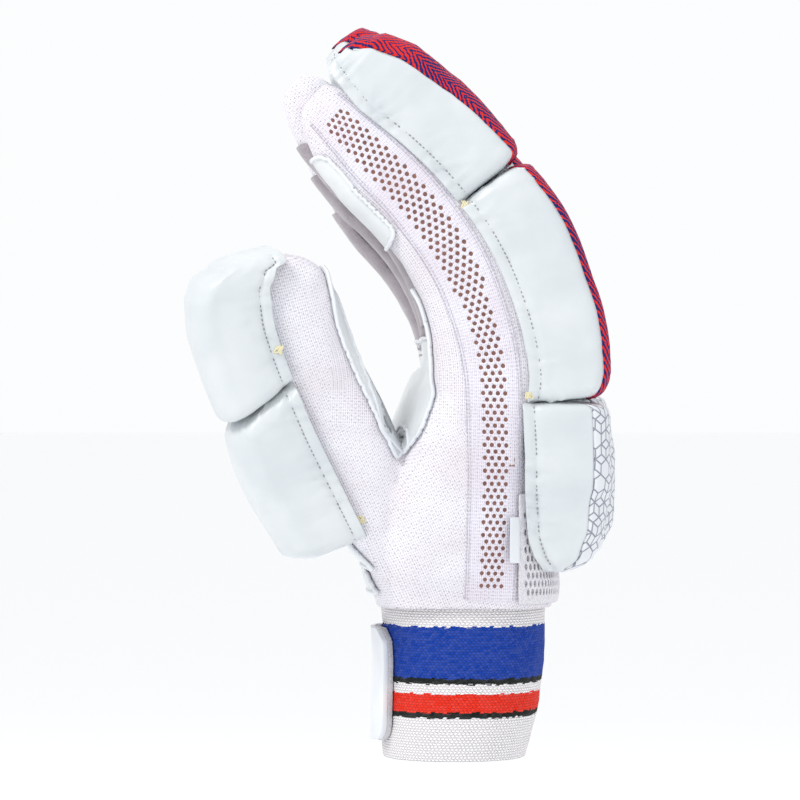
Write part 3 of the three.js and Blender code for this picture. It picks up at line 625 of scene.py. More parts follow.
def threadFinish(name, colour):
    thread = Finish(name, tint(colour), 0.6, Sheen_Weight=0.2)
    shade = tuple(c * 0.75 for c in tint(colour)[:3]) + (1,)
    thread.set("Base Color", thread.mix(thread.speckle(1.5), tint(colour), shade))
    thread.relief(thread.speckle(0.25), 0.05, 0.6)
    return thread.material


def spacerFinish():
    net = Finish("spacerCloth", tint("#E9E8EC"), 0.8, Sheen_Weight=0.3)
    fine = net.speckle(0.6, 3)
    net.set("Base Color", net.mix(net.between(0.3, 0.7, fine), tint("#C4C2C9"), tint("#E2E0E5")))
    u, v = net.flat()
    net.relief(abs(u.wave(0.9)) * 0.5 + fine * 0.5, 0.15, 0.8)
    return net.material


finishes = {
    "knit": knitFinish("ribbedKnit", "#EDECF0", 0.78, 1.1, (1.35, 1.75), 0.5),
    "pierced": knitFinish("piercedKnit", "#EAE8F0", 0.7, 1.2, (1.5, 1.6), 0.35),
    "lining": suedeFinish("innerLining", "#8A5C50", "#5E3A34"),
    "pad": leatherFinish("padLeather", "#CFD4D6", "#C4CACE"),
    "palm": leatherFinish("palmLeather", "#DCDFE0", "#CBD0D4", 0.5, 0.5),
    "suede": suedeFinish("palmSuede", "#A79EA5", "#847B83"),
    "zigzag": zigzagFinish(),
    "hexagon": hexagonFinish(),
    "elastic": elasticFinish(),
    "spacer": spacerFinish(),
    "fluff": suedeFinish("loopPile", "#CFCDD0", "#A3A2A8"),
    "tape": leatherFinish("tapeSatin", "#E1E4E8", "#D3D7DC", 0.3, 0.4),
    # the pad stitches' thread is grey, made darker as painted shade of their stitch holes
    "grey": threadFinish("greyThread", "#8F9095"),
    "seam": threadFinish("seamThread", "#C4C1CA"),
    "wax": threadFinish("yellowThread", "#E3DBB4"),
}
print("finishes made:", len(finishes))


# Forms. A loft's rings are arrays of points, and these make the hand's and the digits'.
def handRings(rows=34, sides=64, start=-0.06, end=1.0):
    a = np.linspace(start, end, rows)

    def get(column):
        return read(handSections, column, a, 0.025)

    turn, zero = np.radians(glove["knuckleTurn"] * get("turn")), np.zeros(rows)
    across = np.stack([-np.sin(turn), np.cos(turn), zero], -1)
    out = np.stack([np.cos(turn), np.sin(turn), zero], -1)
    height = glove["handFrom"] + glove["handLength"] * a
    centre = np.stack([glove["handDepth"] * get("middle"), zero, height], -1)
    halfBreadth, halfDepth = glove["handBreadth"] / 2 * get("breadth"), glove["handDepth"] / 2 * get("depth")
    rings = roundedRing(centre, across, out, halfBreadth, halfDepth, glove["handPower"], sides)
    drop = (glove["knuckleDrop"] * get("drop"))[:, None]
    rings[..., 2] -= drop * (rings[..., 1] / glove["handBreadth"] + 0.5)
    return rings


def digitRings(path, length, depth, breadth, sections, power, sunk=0.0, rows=44, sides=40):
    t = np.linspace(sections["along"][0] - sunk / length, 1.0, rows)
    at = path(t)
    centre = at["point"] + at["back"] * (depth * read(sections, "rise", t, 0.015))[:, None]
    halfU = breadth / 2 * read(sections, "breadth", t, 0.015)
    halfV = depth / 2 * read(sections, "depth", t, 0.015)
    if sunk:  # the root narrows inside the hand
        taper = 0.84 + 0.16 * np.clip((t - t[0]) / (0.03 - t[0]), 0, 1)
        halfU, halfV = halfU * taper, halfV * taper
    return roundedRing(centre, at["side"], at["back"], halfU, halfV, power, sides)


def handBack(y, z):
    up = np.clip((z - glove["handFrom"]) / glove["handLength"], 0, 1)
    turn = np.radians(glove["knuckleTurn"] * read(handSections, "turn", up))
    off = y / (glove["handBreadth"] / 2 * read(handSections, "breadth", up))
    rounding = np.maximum(1 - np.abs(off) ** glove["handPower"], 0) ** (1 / glove["handPower"])
    half = glove["handDepth"] / 2 * read(handSections, "depth", up) * rounding
    return glove["handDepth"] * read(handSections, "middle", up) - y * np.tan(turn) + half


# Smooth noise between -1 and 1 at many places.
def noiseAt(places, seed=0.0):
    return np.array([noise.noise(Vector((x, y, z + seed))) for x, y, z in np.asarray(places, float)])


def nearestOn(path, length, low, high, points):
    t = np.linspace(low, high, 80)
    at = path(t)
    apart = np.stack([np.linalg.norm(points - p, axis=-1) for p in at["point"]], -1)
    i = apart.argmin(1)
    off = points - at["point"][i]
    return {"v": t[i] * length + np.sum(off * at["forward"][i], -1), "u": np.sum(off * at["back"][i], -1),
            "side": np.sum(off * at["side"][i], -1), "apart": apart.min(1)}


# The thumb's ribs cover what lies below handTop, and the thumb itself: in front of thumbFront and
# below thumbTop.
skin = {"voxel": 1.6, "rounds": 5, "wall": 1.8, "crease": 0.45, "rootSunk": 12, "sideways": 0.6,
        "handTop": 126, "thumbFront": -46, "thumbTop": 190}


def knitFlat(mesh):
    # ribs run along the fingers, and over the hand they run along the thumb
    points = pointsOf(mesh)
    onThumb = nearestOn(thumbPath, thumb["length"], -0.4, 1.05, points)
    places = [nearestOn(f["path"], f["length"], -0.15, 1.05, points) for f in fingers.values()]
    apart = np.stack([p["apart"] for p in places], -1)
    best = apart.argmin(1)
    onFinger = {k: np.choose(best, [p[k] for p in places]) for k in ("u", "v")}
    loops = verticesOf(mesh)
    owner = np.repeat(np.arange(len(mesh.polygons)), [p.loop_total for p in mesh.polygons])
    normals = np.empty(len(mesh.polygons) * 3)
    mesh.polygons.foreach_get("normal", normals)
    normals = normals.reshape(-1, 3)[owner]
    middles = np.zeros((len(mesh.polygons), 3))
    np.add.at(middles, owner, points[loops])
    middles = (middles / np.bincount(owner)[:, None])[owner]
    x, _, z = middles.T
    thumbish = (z < skin["handTop"]) | (x < skin["thumbFront"]) & (z < skin["thumbTop"])
    facing = np.abs(normals[:, 1]) > skin["sideways"]
    v = np.where(thumbish, onThumb["v"][loops], onFinger["v"][loops])
    u = np.where(thumbish, onThumb["u"][loops], onFinger["u"][loops])
    return np.stack([np.where(facing, u, points[loops][:, 1]), v], -1)


def knitSkin():
    lofts = [handRings(), digitRings(thumbPath, thumb["length"], thumb["depth"], thumb["breadth"],
                                     thumbSections, thumb["power"])]
    for f in fingers.values():
        lofts.append(digitRings(f["path"], f["length"], f["depth"], glove["fingerBreadth"],
                                fingerSections, glove["fingerPower"], skin["rootSunk"]))
    points, faces = [], []
    for rings in lofts:
        start = sum(len(p) for p in points)
        points.append(rings.reshape(-1, 3))
        faces += [[k + start for k in face] for face in ringFaces(len(rings), rings.shape[1], caps=True)]
    piece = faceOut(makePiece("knit_body", np.vstack(points), faces, finishes["knit"]))
    applied(piece, "REMESH", mode="VOXEL", voxel_size=skin["voxel"] * mm)
    relax(piece.data, skin["rounds"])
    places = pointsOf(piece.data)
    creases = noiseAt(places / (9, 9, 13)) * 0.6 + noiseAt(places / (4, 4, 7), 20) * 0.4
    setPoints(piece.data, places + normalsOf(piece.data) * (creases * skin["crease"])[:, None])
    shape = bmesh.new()
    shape.from_mesh(piece.data)
    bmesh.ops.bisect_plane(shape, geom=shape.verts[:] + shape.edges[:] + shape.faces[:], dist=1e-6,
                           plane_co=(0, 0, glove["handFrom"] * mm), plane_no=(0, 0, 1), clear_inner=True)
    shape.to_mesh(piece.data)
    shape.free()
    return piece


def treeOf(mesh, scale=1):
    places = [v.co / scale for v in mesh.vertices]
    return BVHTree.FromPolygons(places, [tuple(p.vertices) for p in mesh.polygons])


knit = knitSkin()
skinMesh = knit.data.copy()
skinTree = treeOf(skinMesh, mm)
applied(knit, "SOLIDIFY", thickness=skin["wall"] * mm, offset=-1, use_even_offset=False)
setFlat(knit, knitFlat(knit.data))
makeSmooth(knit.data)
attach(knit, "root")
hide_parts("hand_shell", "knuckle_shell", "thumb_sleeve", *(f"{name}_sleeve" for name in fingerNames))
print("knit body:", len(knit.data.polygons), "faces")


# The way out of a grid of points, from its own rows and columns.
def gridNormals(grid):
    return unit(np.cross(np.gradient(grid, axis=1), np.gradient(grid, axis=0)))


leather = {"step": 1.0, "sideColumns": 18, "crownColumns": 26, "crownSink": 1.1, "foot": 3.5, "bulge": 0.6,
           "groove": 0.8, "grooveHeight": 0.7, "big": 0.8, "fine": 0.95, "footFolds": 6, "endFolds": 4.5,
           "domeShares": (0.95, 0.86), "domeSwells": (1.5, 2.6)}
stitchLines = []


def rollForm(path, start, stop, seat, table, breadth, height, length, ends):
    span = abs(stop - start) * length
    rows = int(span / leather["step"])
    a = np.linspace(0, 1, rows)
    a = a * 0.75 + (0.5 - 0.5 * np.cos(np.pi * a)) * 0.25
    t = start + (stop - start) * a
    at = path(t)

    def get(column):
        return read(table, column, a, 0.02)

    inset = np.zeros(rows)
    for gone, radius in ((a * span, ends[0]), ((1 - a) * span, ends[1])):
        inset += radius * (1 - np.sqrt(1 - (1 - np.minimum(gone / radius, 1)) ** 2))
    half, top, foot = breadth / 2 * get("broad") - inset, height * get("high") - inset, height * get("lift")
    spring = np.maximum(top - glove["crownDepth"], (top + foot) / 2)
    lap = np.minimum(glove["crownDepth"] * get("lap"), top - spring) if "lap" in table else np.zeros(rows)
    edge = np.arcsin((1 - lap / (top - spring)) ** (1 / glove["crownRound"]))
    return {"at": at, "seat": seat(t), "skew": get("skew"), "half": half, "top": top,
            "foot": foot - leather["foot"], "spring": spring, "edge": edge, "along": a * span,
            "rows": rows, "span": span}


def rollPlace(form, side, up):
    point, wide, back, forward = (form["at"][key][:, None] for key in ("point", "side", "back", "forward"))
    seat, skew = form["seat"][:, None], form["skew"][:, None]
    return (point + wide * side[..., None] + back * (seat + up)[..., None]
            + forward * (skew * up)[..., None])


def crownPlace(form, angle, sink):
    c, s = np.cos(angle), np.maximum(np.sin(angle), 0)
    power = glove["crownRound"]
    side = form["half"][:, None] * np.sign(c) * np.abs(c) ** power
    up = form["spring"][:, None] + (form["top"] - form["spring"])[:, None] * s ** power
    out = unit(np.stack([np.sign(c) * np.abs(c) ** 1.2 * 0.9, s ** 1.2], -1) + 1e-9)
    return side - out[..., 0] * sink, up - out[..., 1] * sink


def crumple(form, grid, around, weight, seed):
    # soft swells over the whole roll, and short folds where weight is high
    along = np.broadcast_to(form["along"][:, None], around.shape)

    def field(x, y, shift):
        places = np.stack([x, y, np.full_like(x, seed + shift)], -1)
        return noiseAt(places.reshape(-1, 3)).reshape(around.shape)

    swell = field(along / 12, around / 15, 0) * leather["big"] * 0.6
    fold = field(along / 4.6 + around / 26, around / 17, 9)
    weight = weight * np.clip(0.75 + field(along / 14, around / 60, 4) * 1.6, 0.15, 1.3)
    sharp = (np.maximum(0.2 - np.abs(fold), 0) / 0.2) ** 1.4
    depth = swell - sharp * leather["fine"] * (0.06 + weight)
    return grid + gridNormals(grid) * depth[..., None]


def endWeight(near):
    return np.exp(-near / leather["endFolds"]) * 0.9


# The roll's leather from foot to foot over its top. It is sunk where a crown's cloth lies on it.
def sideGrid(form, crowned, seed, plain=False):
    n, m = leather["sideColumns"], leather["crownColumns"]
    share = np.linspace(0, 1, n) ** 1.25
    foot, spring, half = form["foot"][:, None], form["spring"][:, None], form["half"][:, None]
    up = foot + (spring - foot) * share[None]
    base = foot + leather["foot"] + leather["grooveHeight"]
    swell = leather["bulge"] * np.sin(np.pi * np.clip((up - base) / (spring - base), 0, 1))
    side = half + swell - leather["groove"] * np.exp(-(up - base) ** 2)
    edge = form["edge"][:, None]
    if crowned:
        lapping = np.linspace(0, 1, 5)[None, 1:]
        angles = np.hstack([edge * lapping, edge + (np.pi - 2 * edge) * np.linspace(0.02, 0.98, m)[None],
                            np.pi - edge * lapping[:, ::-1]])
        sinks = np.hstack([[0, 0, 0, 0.25], np.full(m, leather["crownSink"]), [0.25, 0, 0, 0]])[None]
    else:
        angles = np.broadcast_to(np.linspace(0, np.pi, m + 10)[None, 1:-1], (form["rows"], m + 8))
        sinks = np.zeros((1, m + 8))
    near = np.minimum(form["along"], form["span"] - form["along"])[:, None]
    crownSide, crownUp = crownPlace(form, angles, sinks)
    allSide = np.hstack([side, crownSide, -side[:, ::-1]])
    allUp = np.hstack([up, crownUp, up[:, ::-1]])
    grid = rollPlace(form, allSide, allUp)
    middle = form["half"][:, None] * (np.pi / 2 - angles) * 0.95
    reach = form["half"][:, None] * np.pi / 2 * 0.95
    around = np.hstack([reach + (spring - up), middle, -(reach + (spring - up))[:, ::-1]])
    if plain:
        return grid, around
    low = np.exp(-np.maximum(allUp - base, 0) / leather["footFolds"])
    ends = endWeight(near)
    return crumple(form, grid, around, np.maximum(low, ends), seed) + swellAt(form, around), around


# The leather is blown up as cloth that is held along its seams, all rolls in one simulation.
blow = {"every": 2, "frames": 16, "most": 2.2, "sideways": 0.3, "endHold": 0.75, "seamHold": 0.25,
        "seamReach": 1.3,
        "cloth": {"quality": 6, "mass": 0.25, "tension_stiffness": 18, "compression_stiffness": 18,
                  "bending_stiffness": 0.6, "use_pressure": True, "uniform_pressure_force": 3.2,
                  "shrink_min": -0.035, "vertex_group_mass": "held"}}


def blowUp(jobs):
    points, faces, holds, patches = [], [], [], []
    for form, crowned in jobs:
        grid, around = sideGrid(form, False, 0, plain=True)
        rows, columns = (np.unique(np.append(np.arange(0, count, blow["every"]), count - 1))
                         for count in around.shape)
        part = grid[np.ix_(rows, columns)]
        hold = np.zeros(part.shape[:2])
        if crowned:
            seam = form["half"][:, None] * (np.pi / 2 - form["edge"][:, None]) * 0.95
            near = np.abs(np.abs(around) - seam)[np.ix_(rows, columns)]
            hold[near < blow["seamReach"]] = blow["seamHold"]
        hold[[0, -1]] = blow["endHold"]
        hold[:, :4] = hold[:, -4:] = 1
        start = sum(len(p) for p in points)
        points.append(part.reshape(-1, 3))
        holds.append(hold.ravel())
        faces += [[k + start for k in face] for face in ringFaces(len(rows), len(columns), caps=True)]
        patches.append((form, rows, columns, around, part, start))
    points, holds = np.vstack(points), np.concatenate(holds)
    pillow = faceOut(makePiece("pillow", points, faces))
    group = pillow.vertex_groups.new(name="held")
    for i in np.nonzero(holds)[0]:
        group.add([int(i)], float(holds[i]), "REPLACE")
    cloth = pillow.modifiers.new("cloth", "CLOTH")
    for key, value in blow["cloth"].items():
        setattr(cloth.settings, key, value)
    cloth.settings.effector_weights.gravity = 0
    cloth.collision_settings.use_collision = False
    for number in range(1, blow["frames"] + 1):
        bpy.context.scene.frame_set(number)
    moved = pointsOf(pillow.evaluated_get(bpy.context.evaluated_depsgraph_get()).data) - points
    bpy.data.objects.remove(pillow)
    bpy.context.scene.frame_set(1)
    for form, rows, columns, around, part, start in patches:
        shift = moved[start:start + part.shape[0] * part.shape[1]].reshape(part.shape)
        side = form["at"]["side"][rows][:, None]
        shift = shift - side * np.sum(shift * side, -1, keepdims=True) * (1 - blow["sideways"])
        far = np.linalg.norm(shift, axis=-1, keepdims=True)
        shift = shift * np.minimum(1, blow["most"] / np.maximum(far, 1e-6))
        every = np.arange(len(around))
        shift = np.stack([[np.interp(every, rows, shift[:, j, k]) for k in range(3)]
                          for j in range(len(columns))]).transpose(2, 0, 1)
        for _ in range(3):
            shift[1:-1] = (shift[:-2] + shift[1:-1] * 2 + shift[2:]) / 4
            shift[:, 1:-1] = (shift[:, :-2] + shift[:, 1:-1] * 2 + shift[:, 2:]) / 4
        form["swell"] = (around[:, columns][:, ::-1], shift[:, ::-1])
    print("leather blown up, at most", round(float(np.abs(moved).max()), 2), "mm")


def swellAt(form, around):
    if "swell" not in form:
        return 0.0
    places, shift = form["swell"]
    out = np.empty(around.shape + (3,))
    for i in range(len(around)):
        for k in range(3):
            out[i, :, k] = np.interp(around[i], places[i], shift[i, :, k])
    return out


# Closes both ends of a grid of rings with smaller rings that swell outwards.
def domed(grid, flats):
    starts, ends = [], []
    for at, inner, made in ((0, 3, starts), (-1, -4, ends)):
        centre = grid[at].mean(0)
        way = unit(centre - grid[inner].mean(0))
        for share in leather["domeShares"]:
            out = way * leather["domeSwells"][at] * (1 - share ** 2)
            made.append((centre + (grid[at] - centre) * share + out, flats[at] * (share, 1)))
    starts.reverse()
    return (np.concatenate([[r for r, _ in starts], grid, [r for r, _ in ends]]),
            np.concatenate([[f for _, f in starts], flats, [f for _, f in ends]]))


def flatOf(around, along):
    return np.stack([around, np.broadcast_to(along[:, None], around.shape)], -1)


def gridPiece(name, grid, finish, flat, **options):
    faces = ringFaces(*grid.shape[:2], caps=True)
    piece = makePiece(name, grid.reshape(-1, 3), faces, finishes[finish], flat.reshape(-1, 2))
    return faceOut(piece, **options)


def makeRoll(name, form, crownFinish, seed):
    grid, around = sideGrid(form, crownFinish is not None, seed)
    grid, flat = domed(grid, flatOf(around, form["along"]))
    piece = gridPiece(f"{name}_leather", grid, "pad", flat, filled=True)
    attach(piece, "root")
    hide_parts(name)
    # the row of stitches in the groove on each side
    up = (form["foot"] + leather["foot"] + leather["grooveHeight"])[:, None]
    for sign in (-1, 1):
        side = (sign * (form["half"] - leather["groove"] * 0.65))[:, None]
        stitchLines.append(rollPlace(form, side, up)[2:-2, 0])
    if crownFinish:
        makeCrown(name.replace("_roll", "_crown"), form, crownFinish, seed)


crown = {"columns": 34, "margin": 0.35, "rise": 0.3, "riseReach": 2.2, "turnIn": 0.5, "under": 0.95,
         "hoodSwells": (2.9, 2.1)}
hoodShares = np.array([0.97, 0.88, 0.74, 0.56, 0.36, 0.15])


# The cloth turns down over the nose, to the middle of its own lower edge.
def hooded(face, swell):
    last = face[-1]
    centre = (last[0] + last[-1]) / 2
    way = unit(last.mean(0) - face[-4].mean(0))
    rings = [centre + (last - centre) * share + way * swell * (1 - share ** 2) for share in hoodShares]
    return np.concatenate([face, rings])


def makeCrown(name, form, finish, seed):
    edge, half = form["edge"][:, None], form["half"][:, None]
    margin = crown["margin"] / half
    share = np.linspace(0, 1, crown["columns"])
    share = (0.5 - 0.5 * np.cos(np.pi * share) + share) / 2
    angles = edge + margin + (np.pi - 2 * edge - 2 * margin) * share[None]
    near = np.minimum(share, 1 - share)[None] * (half * 2.4)
    tips = np.minimum(form["along"], form["span"] - form["along"])[:, None] + 0.3
    rim = np.minimum(near, tips)
    lift = (crown["turnIn"] * np.exp(-(rim / crown["turnIn"]) ** 2)
            - crown["rise"] * (1 - np.exp(-rim / crown["riseReach"])))
    around = half * (np.pi / 2 - angles) * 0.95
    weight = endWeight(tips) * np.ones_like(around)
    faces = []
    for sink in (lift, np.full_like(lift, crown["under"])):
        face = rollPlace(form, *crownPlace(form, angles, sink))
        faces.append(crumple(form, face, around, weight, seed) + swellAt(form, around))
    along = form["along"]
    if "tip" in name:
        faces = [hooded(face, swell) for face, swell in zip(faces, crown["hoodSwells"])]
        around = np.concatenate([around, around[-1] * hoodShares[:, None]])
        along = np.concatenate([along, along[-1] + form["half"][-1] * (1 - hoodShares)])
    top, bottom = faces
    grid = np.concatenate([top, bottom[:, ::-1]], 1)
    flats = np.concatenate([around, around[:, ::-1]], 1)
    piece = gridPiece(f"{name}_cloth", grid, finish, flatOf(flats, along))
    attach(piece, "root")
    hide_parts(name)
    "hexagon_print" if finish == "hexagon" else "zigzag_cloth"


# How round each end is, how much shorter each finger's tip roll is, and the forms of all the pads.
rollEnds = {"tip": (3.2, 3.0), "knuckle": (3.2, 3.2), "back": (5, 3.2), "thumb": (3.6, 3.6)}
forms = {}
noseCut = {"index": 0.012, "middle": 0.055, "ring": 0.03, "little": 0.0}
for order, (name, f) in enumerate(fingers.items()):
    def seat(t, f=f):
        return f["depth"] * (read(fingerSections, "depth", t) / 2 + read(fingerSections, "rise", t))

    joint = glove["rollJoint"] / 2 / f["length"]
    broad, high = glove["rollBreadth"], glove["rollHeight"]
    tip = rollForm(f["path"], glove["rollSplit"] + joint, glove["rollTip"] - noseCut[name], seat,
                   rollTables["tip"], broad, high, f["length"], rollEnds["tip"])
    knuckle = rollForm(f["path"], glove["rollFrom"], glove["rollSplit"] - joint, seat,
                       rollTables["knuckle"], broad, high, f["length"], rollEnds["knuckle"])
    rise = glove["knuckleHeight"] + f["rise"] + glove["rollFrom"] * f["length"] - glove["rollJoint"]

    def backPath(t, f=f, rise=rise):
        y = f["y"] * read(backSpread, "pitch", t)
        z = rise + (t - 1) * glove["backRollLength"]
        ones = np.ones_like(t)
        return {"point": np.stack([handBack(y, z), y, z], -1), "forward": np.outer(ones, (0, 0, 1)),
                "back": np.outer(ones, (1, 0, 0)), "side": np.outer(ones, (0, 1, 0))}

    back = rollForm(backPath, 0, 1, lambda t: np.zeros_like(t), rollTables["back"], broad,
                    glove["backRollHeight"], glove["backRollLength"], rollEnds["back"])
    for number, (part, form) in enumerate((("tip", tip), ("knuckle", knuckle), ("back", back))):
        cover = "hexagon" if part == "back" else "zigzag"
        forms[f"{name}_{part}_roll"] = (form, cover, 3.1 * order + 1 + number)


def thumbBack(t):
    at = thumbPath(t)
    return {**at, "back": -at["back"], "side": -at["side"]}


def thumbSeat(t):
    return thumb["depth"] / 2 * read(thumbSections, "depth", t) - 1


joint = glove["rollJoint"] / 2 / thumb["length"]
for name, start, stop, table, seed in (
        ("thumb_base_pad", thumb["padFrom"], thumb["padSplit"] - joint, "thumbBase", 31),
        ("thumb_tip_pad", thumb["padSplit"] + joint, thumb["padTo"], "thumbTip", 37)):
    form = rollForm(thumbBack, start, stop, thumbSeat, rollTables[table], glove["thumbPadBreadth"],
                    glove["thumbPadHeight"], thumb["length"], rollEnds["thumb"])
    forms[name] = (form, None, seed)
blowUp([(form, cover is not None) for form, cover, seed in forms.values()])
for name, (form, cover, seed) in forms.items():
    makeRoll(name, form, cover, seed)
print("rolls and pads made")


# Wristband.
elastic = {"around": 300, "rows": 84, "innerRows": 14, "sunk": 0.2, "uneven": 0.25, "unevenSize": 5}


def bandRings(a, grow, sides):
    centre = np.stack([glove["bandLean"] * read(bandSections, "middle", a, 0.03), np.zeros_like(a),
                       glove["bandHeight"] * a], -1)
    ones = np.ones_like(a)
    halfU = glove["bandBreadth"] / 2 * read(bandSections, "breadth", a, 0.03) + grow
    halfV = glove["bandDepth"] / 2 * read(bandSections, "depth", a, 0.03) + grow
    return roundedRing(centre, np.outer(ones, (0, 1, 0)), np.outer(ones, (1, 0, 0)), halfU, halfV,
                       glove["bandPower"], sides)


def makeBand():
    sides, rows = elastic["around"], elastic["rows"]
    outer = bandRings(np.linspace(0, 1, rows), -elastic["sunk"], sides)
    inner = bandRings(np.linspace(1, 0, elastic["innerRows"]), -glove["bandWall"], sides)
    rings = np.concatenate([outer, inner])
    uneven = noiseAt(outer.reshape(-1, 3) / elastic["unevenSize"]).reshape(rows, sides) * elastic["uneven"]
    rings[:rows] += unit(outer - outer.mean(1, keepdims=True)) * (1, 1, 0) * uneven[..., None]
    last = (len(rings) - 1) * sides
    faces = ringFaces(len(rings), sides)
    faces += [(last + j, last + (j + 1) % sides, (j + 1) % sides, j) for j in range(sides)]
    # the weave's own coordinate runs around the band and up it, and doesn't turn back at its start
    step = np.linalg.norm(np.roll(outer[0], -1, 0) - outer[0], axis=-1)
    u = np.concatenate([[0], np.cumsum(step)])
    flats = []
    for face in faces:
        columns = [k % sides for k in face]
        wraps = max(columns) - min(columns) > sides / 2
        for c, k in zip(columns, face):
            flats.append((u[sides if wraps and c == 0 else c], rings[k // sides, c, 2]))
    piece = faceOut(makePiece("wristband_weave", rings.reshape(-1, 3), faces, finishes["elastic"], flats))
    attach(piece, "root")
    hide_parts("wristband")


makeBand()


# Trees of geometry nodes for what repeats: a row of stitches, a piping and a net of holes.
class Growth(Board):
    def __init__(self, name, numbers):
        tree = bpy.data.node_groups.new(name, "GeometryNodeTree")
        super().__init__(tree)
        tree.interface.new_socket("Geometry", in_out="INPUT", socket_type="NodeSocketGeometry")
        tree.interface.new_socket("Material", in_out="INPUT", socket_type="NodeSocketMaterial")
        for key, value in numbers.items():
            socket = tree.interface.new_socket(key, in_out="INPUT", socket_type="NodeSocketFloat")
            socket.default_value = value
        tree.interface.new_socket("Geometry", in_out="OUTPUT", socket_type="NodeSocketGeometry")
        self.given = self.node("NodeGroupInput")

    def geometry(self, kind, values, **settings):
        return self.node("GeometryNode" + kind, settings, values)

    def end(self, made):
        whole = self.geometry("RealizeInstances", (made,))
        smooth = self.geometry("SetShadeSmooth", {"Geometry": whole})
        dressed = self.geometry("SetMaterial", {"Geometry": smooth, "Material": self.given.other("Material")})
        ending = self.tree.nodes.new("NodeGroupOutput")
        self.tree.links.new(dressed.socket, ending.inputs[0])
        return self.tree


def stitchTree():
    board = Growth("stitchRow", {"Pitch": 1.6 * mm, "Length": 1.1 * mm, "Thickness": 0.4 * mm})
    pitch, length, thickness = (board.given.other(name) for name in ("Pitch", "Length", "Thickness"))
    curve = board.geometry("MeshToCurve", (board.given,))
    points = board.geometry("CurveToPoints", {"Curve": curve, "Length": pitch}, mode="LENGTH")
    grain = board.geometry("MeshUVSphere", {"Segments": 6, "Rings": 5, "Radius": 0.5})
    size = board.node("ShaderNodeCombineXYZ", None, (thickness, thickness, length))
    return board.end(board.geometry("InstanceOnPoints", {
        "Points": points, "Instance": grain, "Rotation": points.other("Rotation"), "Scale": size}))


def pipingTree():
    board = Growth("piping", {"Step": 1.2 * mm, "Radius": 0.7 * mm})
    step, radius = board.given.other("Step"), board.given.other("Radius")
    curve = board.geometry("MeshToCurve", (board.given,))
    curve = board.geometry("ResampleCurve", {"Curve": curve, "Length": step}, mode="LENGTH")
    circle = board.geometry("CurvePrimitiveCircle", {"Resolution": 10, "Radius": radius})
    profile = {"Curve": curve, "Profile Curve": circle, "Fill Caps": True}
    return board.end(board.geometry("CurveToMesh", profile))


def netTree():
    # opens a hole in each face whose "open" attribute is set, and keeps the rest
    board = Growth("net", {"Opening": 0.6})
    chosen = board.geometry("InputNamedAttribute", ("open",), data_type="BOOLEAN")
    raised = board.geometry("ExtrudeMesh", {"Mesh": board.given, "Selection": chosen, "Offset Scale": 0.0,
                                            "Individual": True})
    top = raised.other("Top")
    small = board.geometry("ScaleElements", {"Geometry": raised, "Selection": top,
                                             "Scale": board.given.other("Opening")})
    return board.end(board.geometry("DeleteGeometry", {"Geometry": small, "Selection": top}, domain="FACE"))


trees = {"stitch": stitchTree(), "piping": pipingTree(), "net": netTree()}


def grow(piece, tree, finish, **numbers):
    modifier = piece.modifiers.new(tree, "NODES")
    modifier.node_group = trees[tree]
    for item in trees[tree].interface.items_tree:
        if item.in_out == "INPUT" and item.name == "Material":
            modifier[item.identifier] = finish
        elif item.in_out == "INPUT" and item.name in numbers:
            modifier[item.identifier] = float(numbers[item.name])
    return settle(piece)


def linePiece(name, lines, tree, finish, slotName, **numbers):
    points, edges = [], []
    for line in lines:
        start = len(points)
        points += [tuple(p) for p in np.asarray(line) * mm]
        edges += [(start + i, start + i + 1) for i in range(len(line) - 1)]
    mesh = bpy.data.meshes.new(name)
    mesh.from_pydata(points, edges, [])
    piece = grow(linked(name, mesh), tree, finishes[finish], **numbers)
    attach(piece, "root")


# Opens a net's holes and gives it its thickness. facing says which way is out at its middle face.
def openNet(piece, finish, settings, facing):
    faceOut(piece)
    polygons = piece.data.polygons
    if polygons[len(polygons) // 2].normal.dot(facing) < 0:
        piece.data.flip_normals()
    grow(piece, "net", finishes[finish], Opening=settings["opening"])
    applied(piece, "SOLIDIFY", thickness=settings["thick"] * mm, offset=-1, use_even_offset=False)
    applied(piece, "SUBSURF", levels=1, render_levels=1)


# A net of brick-laid cells over a surface. place(u, v) gives points for flat coordinates.
def netMesh(name, place, columns, rows, pitchU, pitchV, opened, finish):
    index, flats, faces, holes = {}, [], [], []

    def corner(i, j):
        # the zigzag makes each brick a hexagon
        if (i, j) not in index:
            index[(i, j)] = len(flats)
            inside = 0 < i < rows and abs(j) < columns
            bend = 0.2 * (-1) ** (i + j + columns) if inside else 0
            flats.append((j * pitchU / 2, (i + bend) * pitchV))
        return index[(i, j)]

    for i in range(rows):
        shift = i % 2
        stops = list(range(-columns + shift, columns + 1, 2))
        if shift:
            stops = [-columns] + stops + [columns]
        for a, b in zip(stops[:-1], stops[1:]):
            low = [corner(i, j) for j in range(a, b + 1)]
            high = [corner(i + 1, j) for j in range(b, a - 1, -1)]
            faces.append(low + high)
            holes.append(b - a == 2 and bool(opened((a + b) / 4 * pitchU, (i + 0.5) * pitchV, i)))
    piece = makePiece(name, place(np.array(flats, float)), faces, finishes[finish], flats)
    layer = piece.data.attributes.new("open", "BOOLEAN", "FACE")
    layer.data.foreach_set("value", holes)
    return piece


def onThumbSide(points, lift):
    # drops points onto the knit along +Y
    out = np.array(points, float)
    for p in out:
        hit = skinTree.ray_cast(Vector((p[0], -130, p[2])), Vector((0, 1, 0)))
        p[1] = (hit[0].y if hit[0] else -50) - lift
    return out


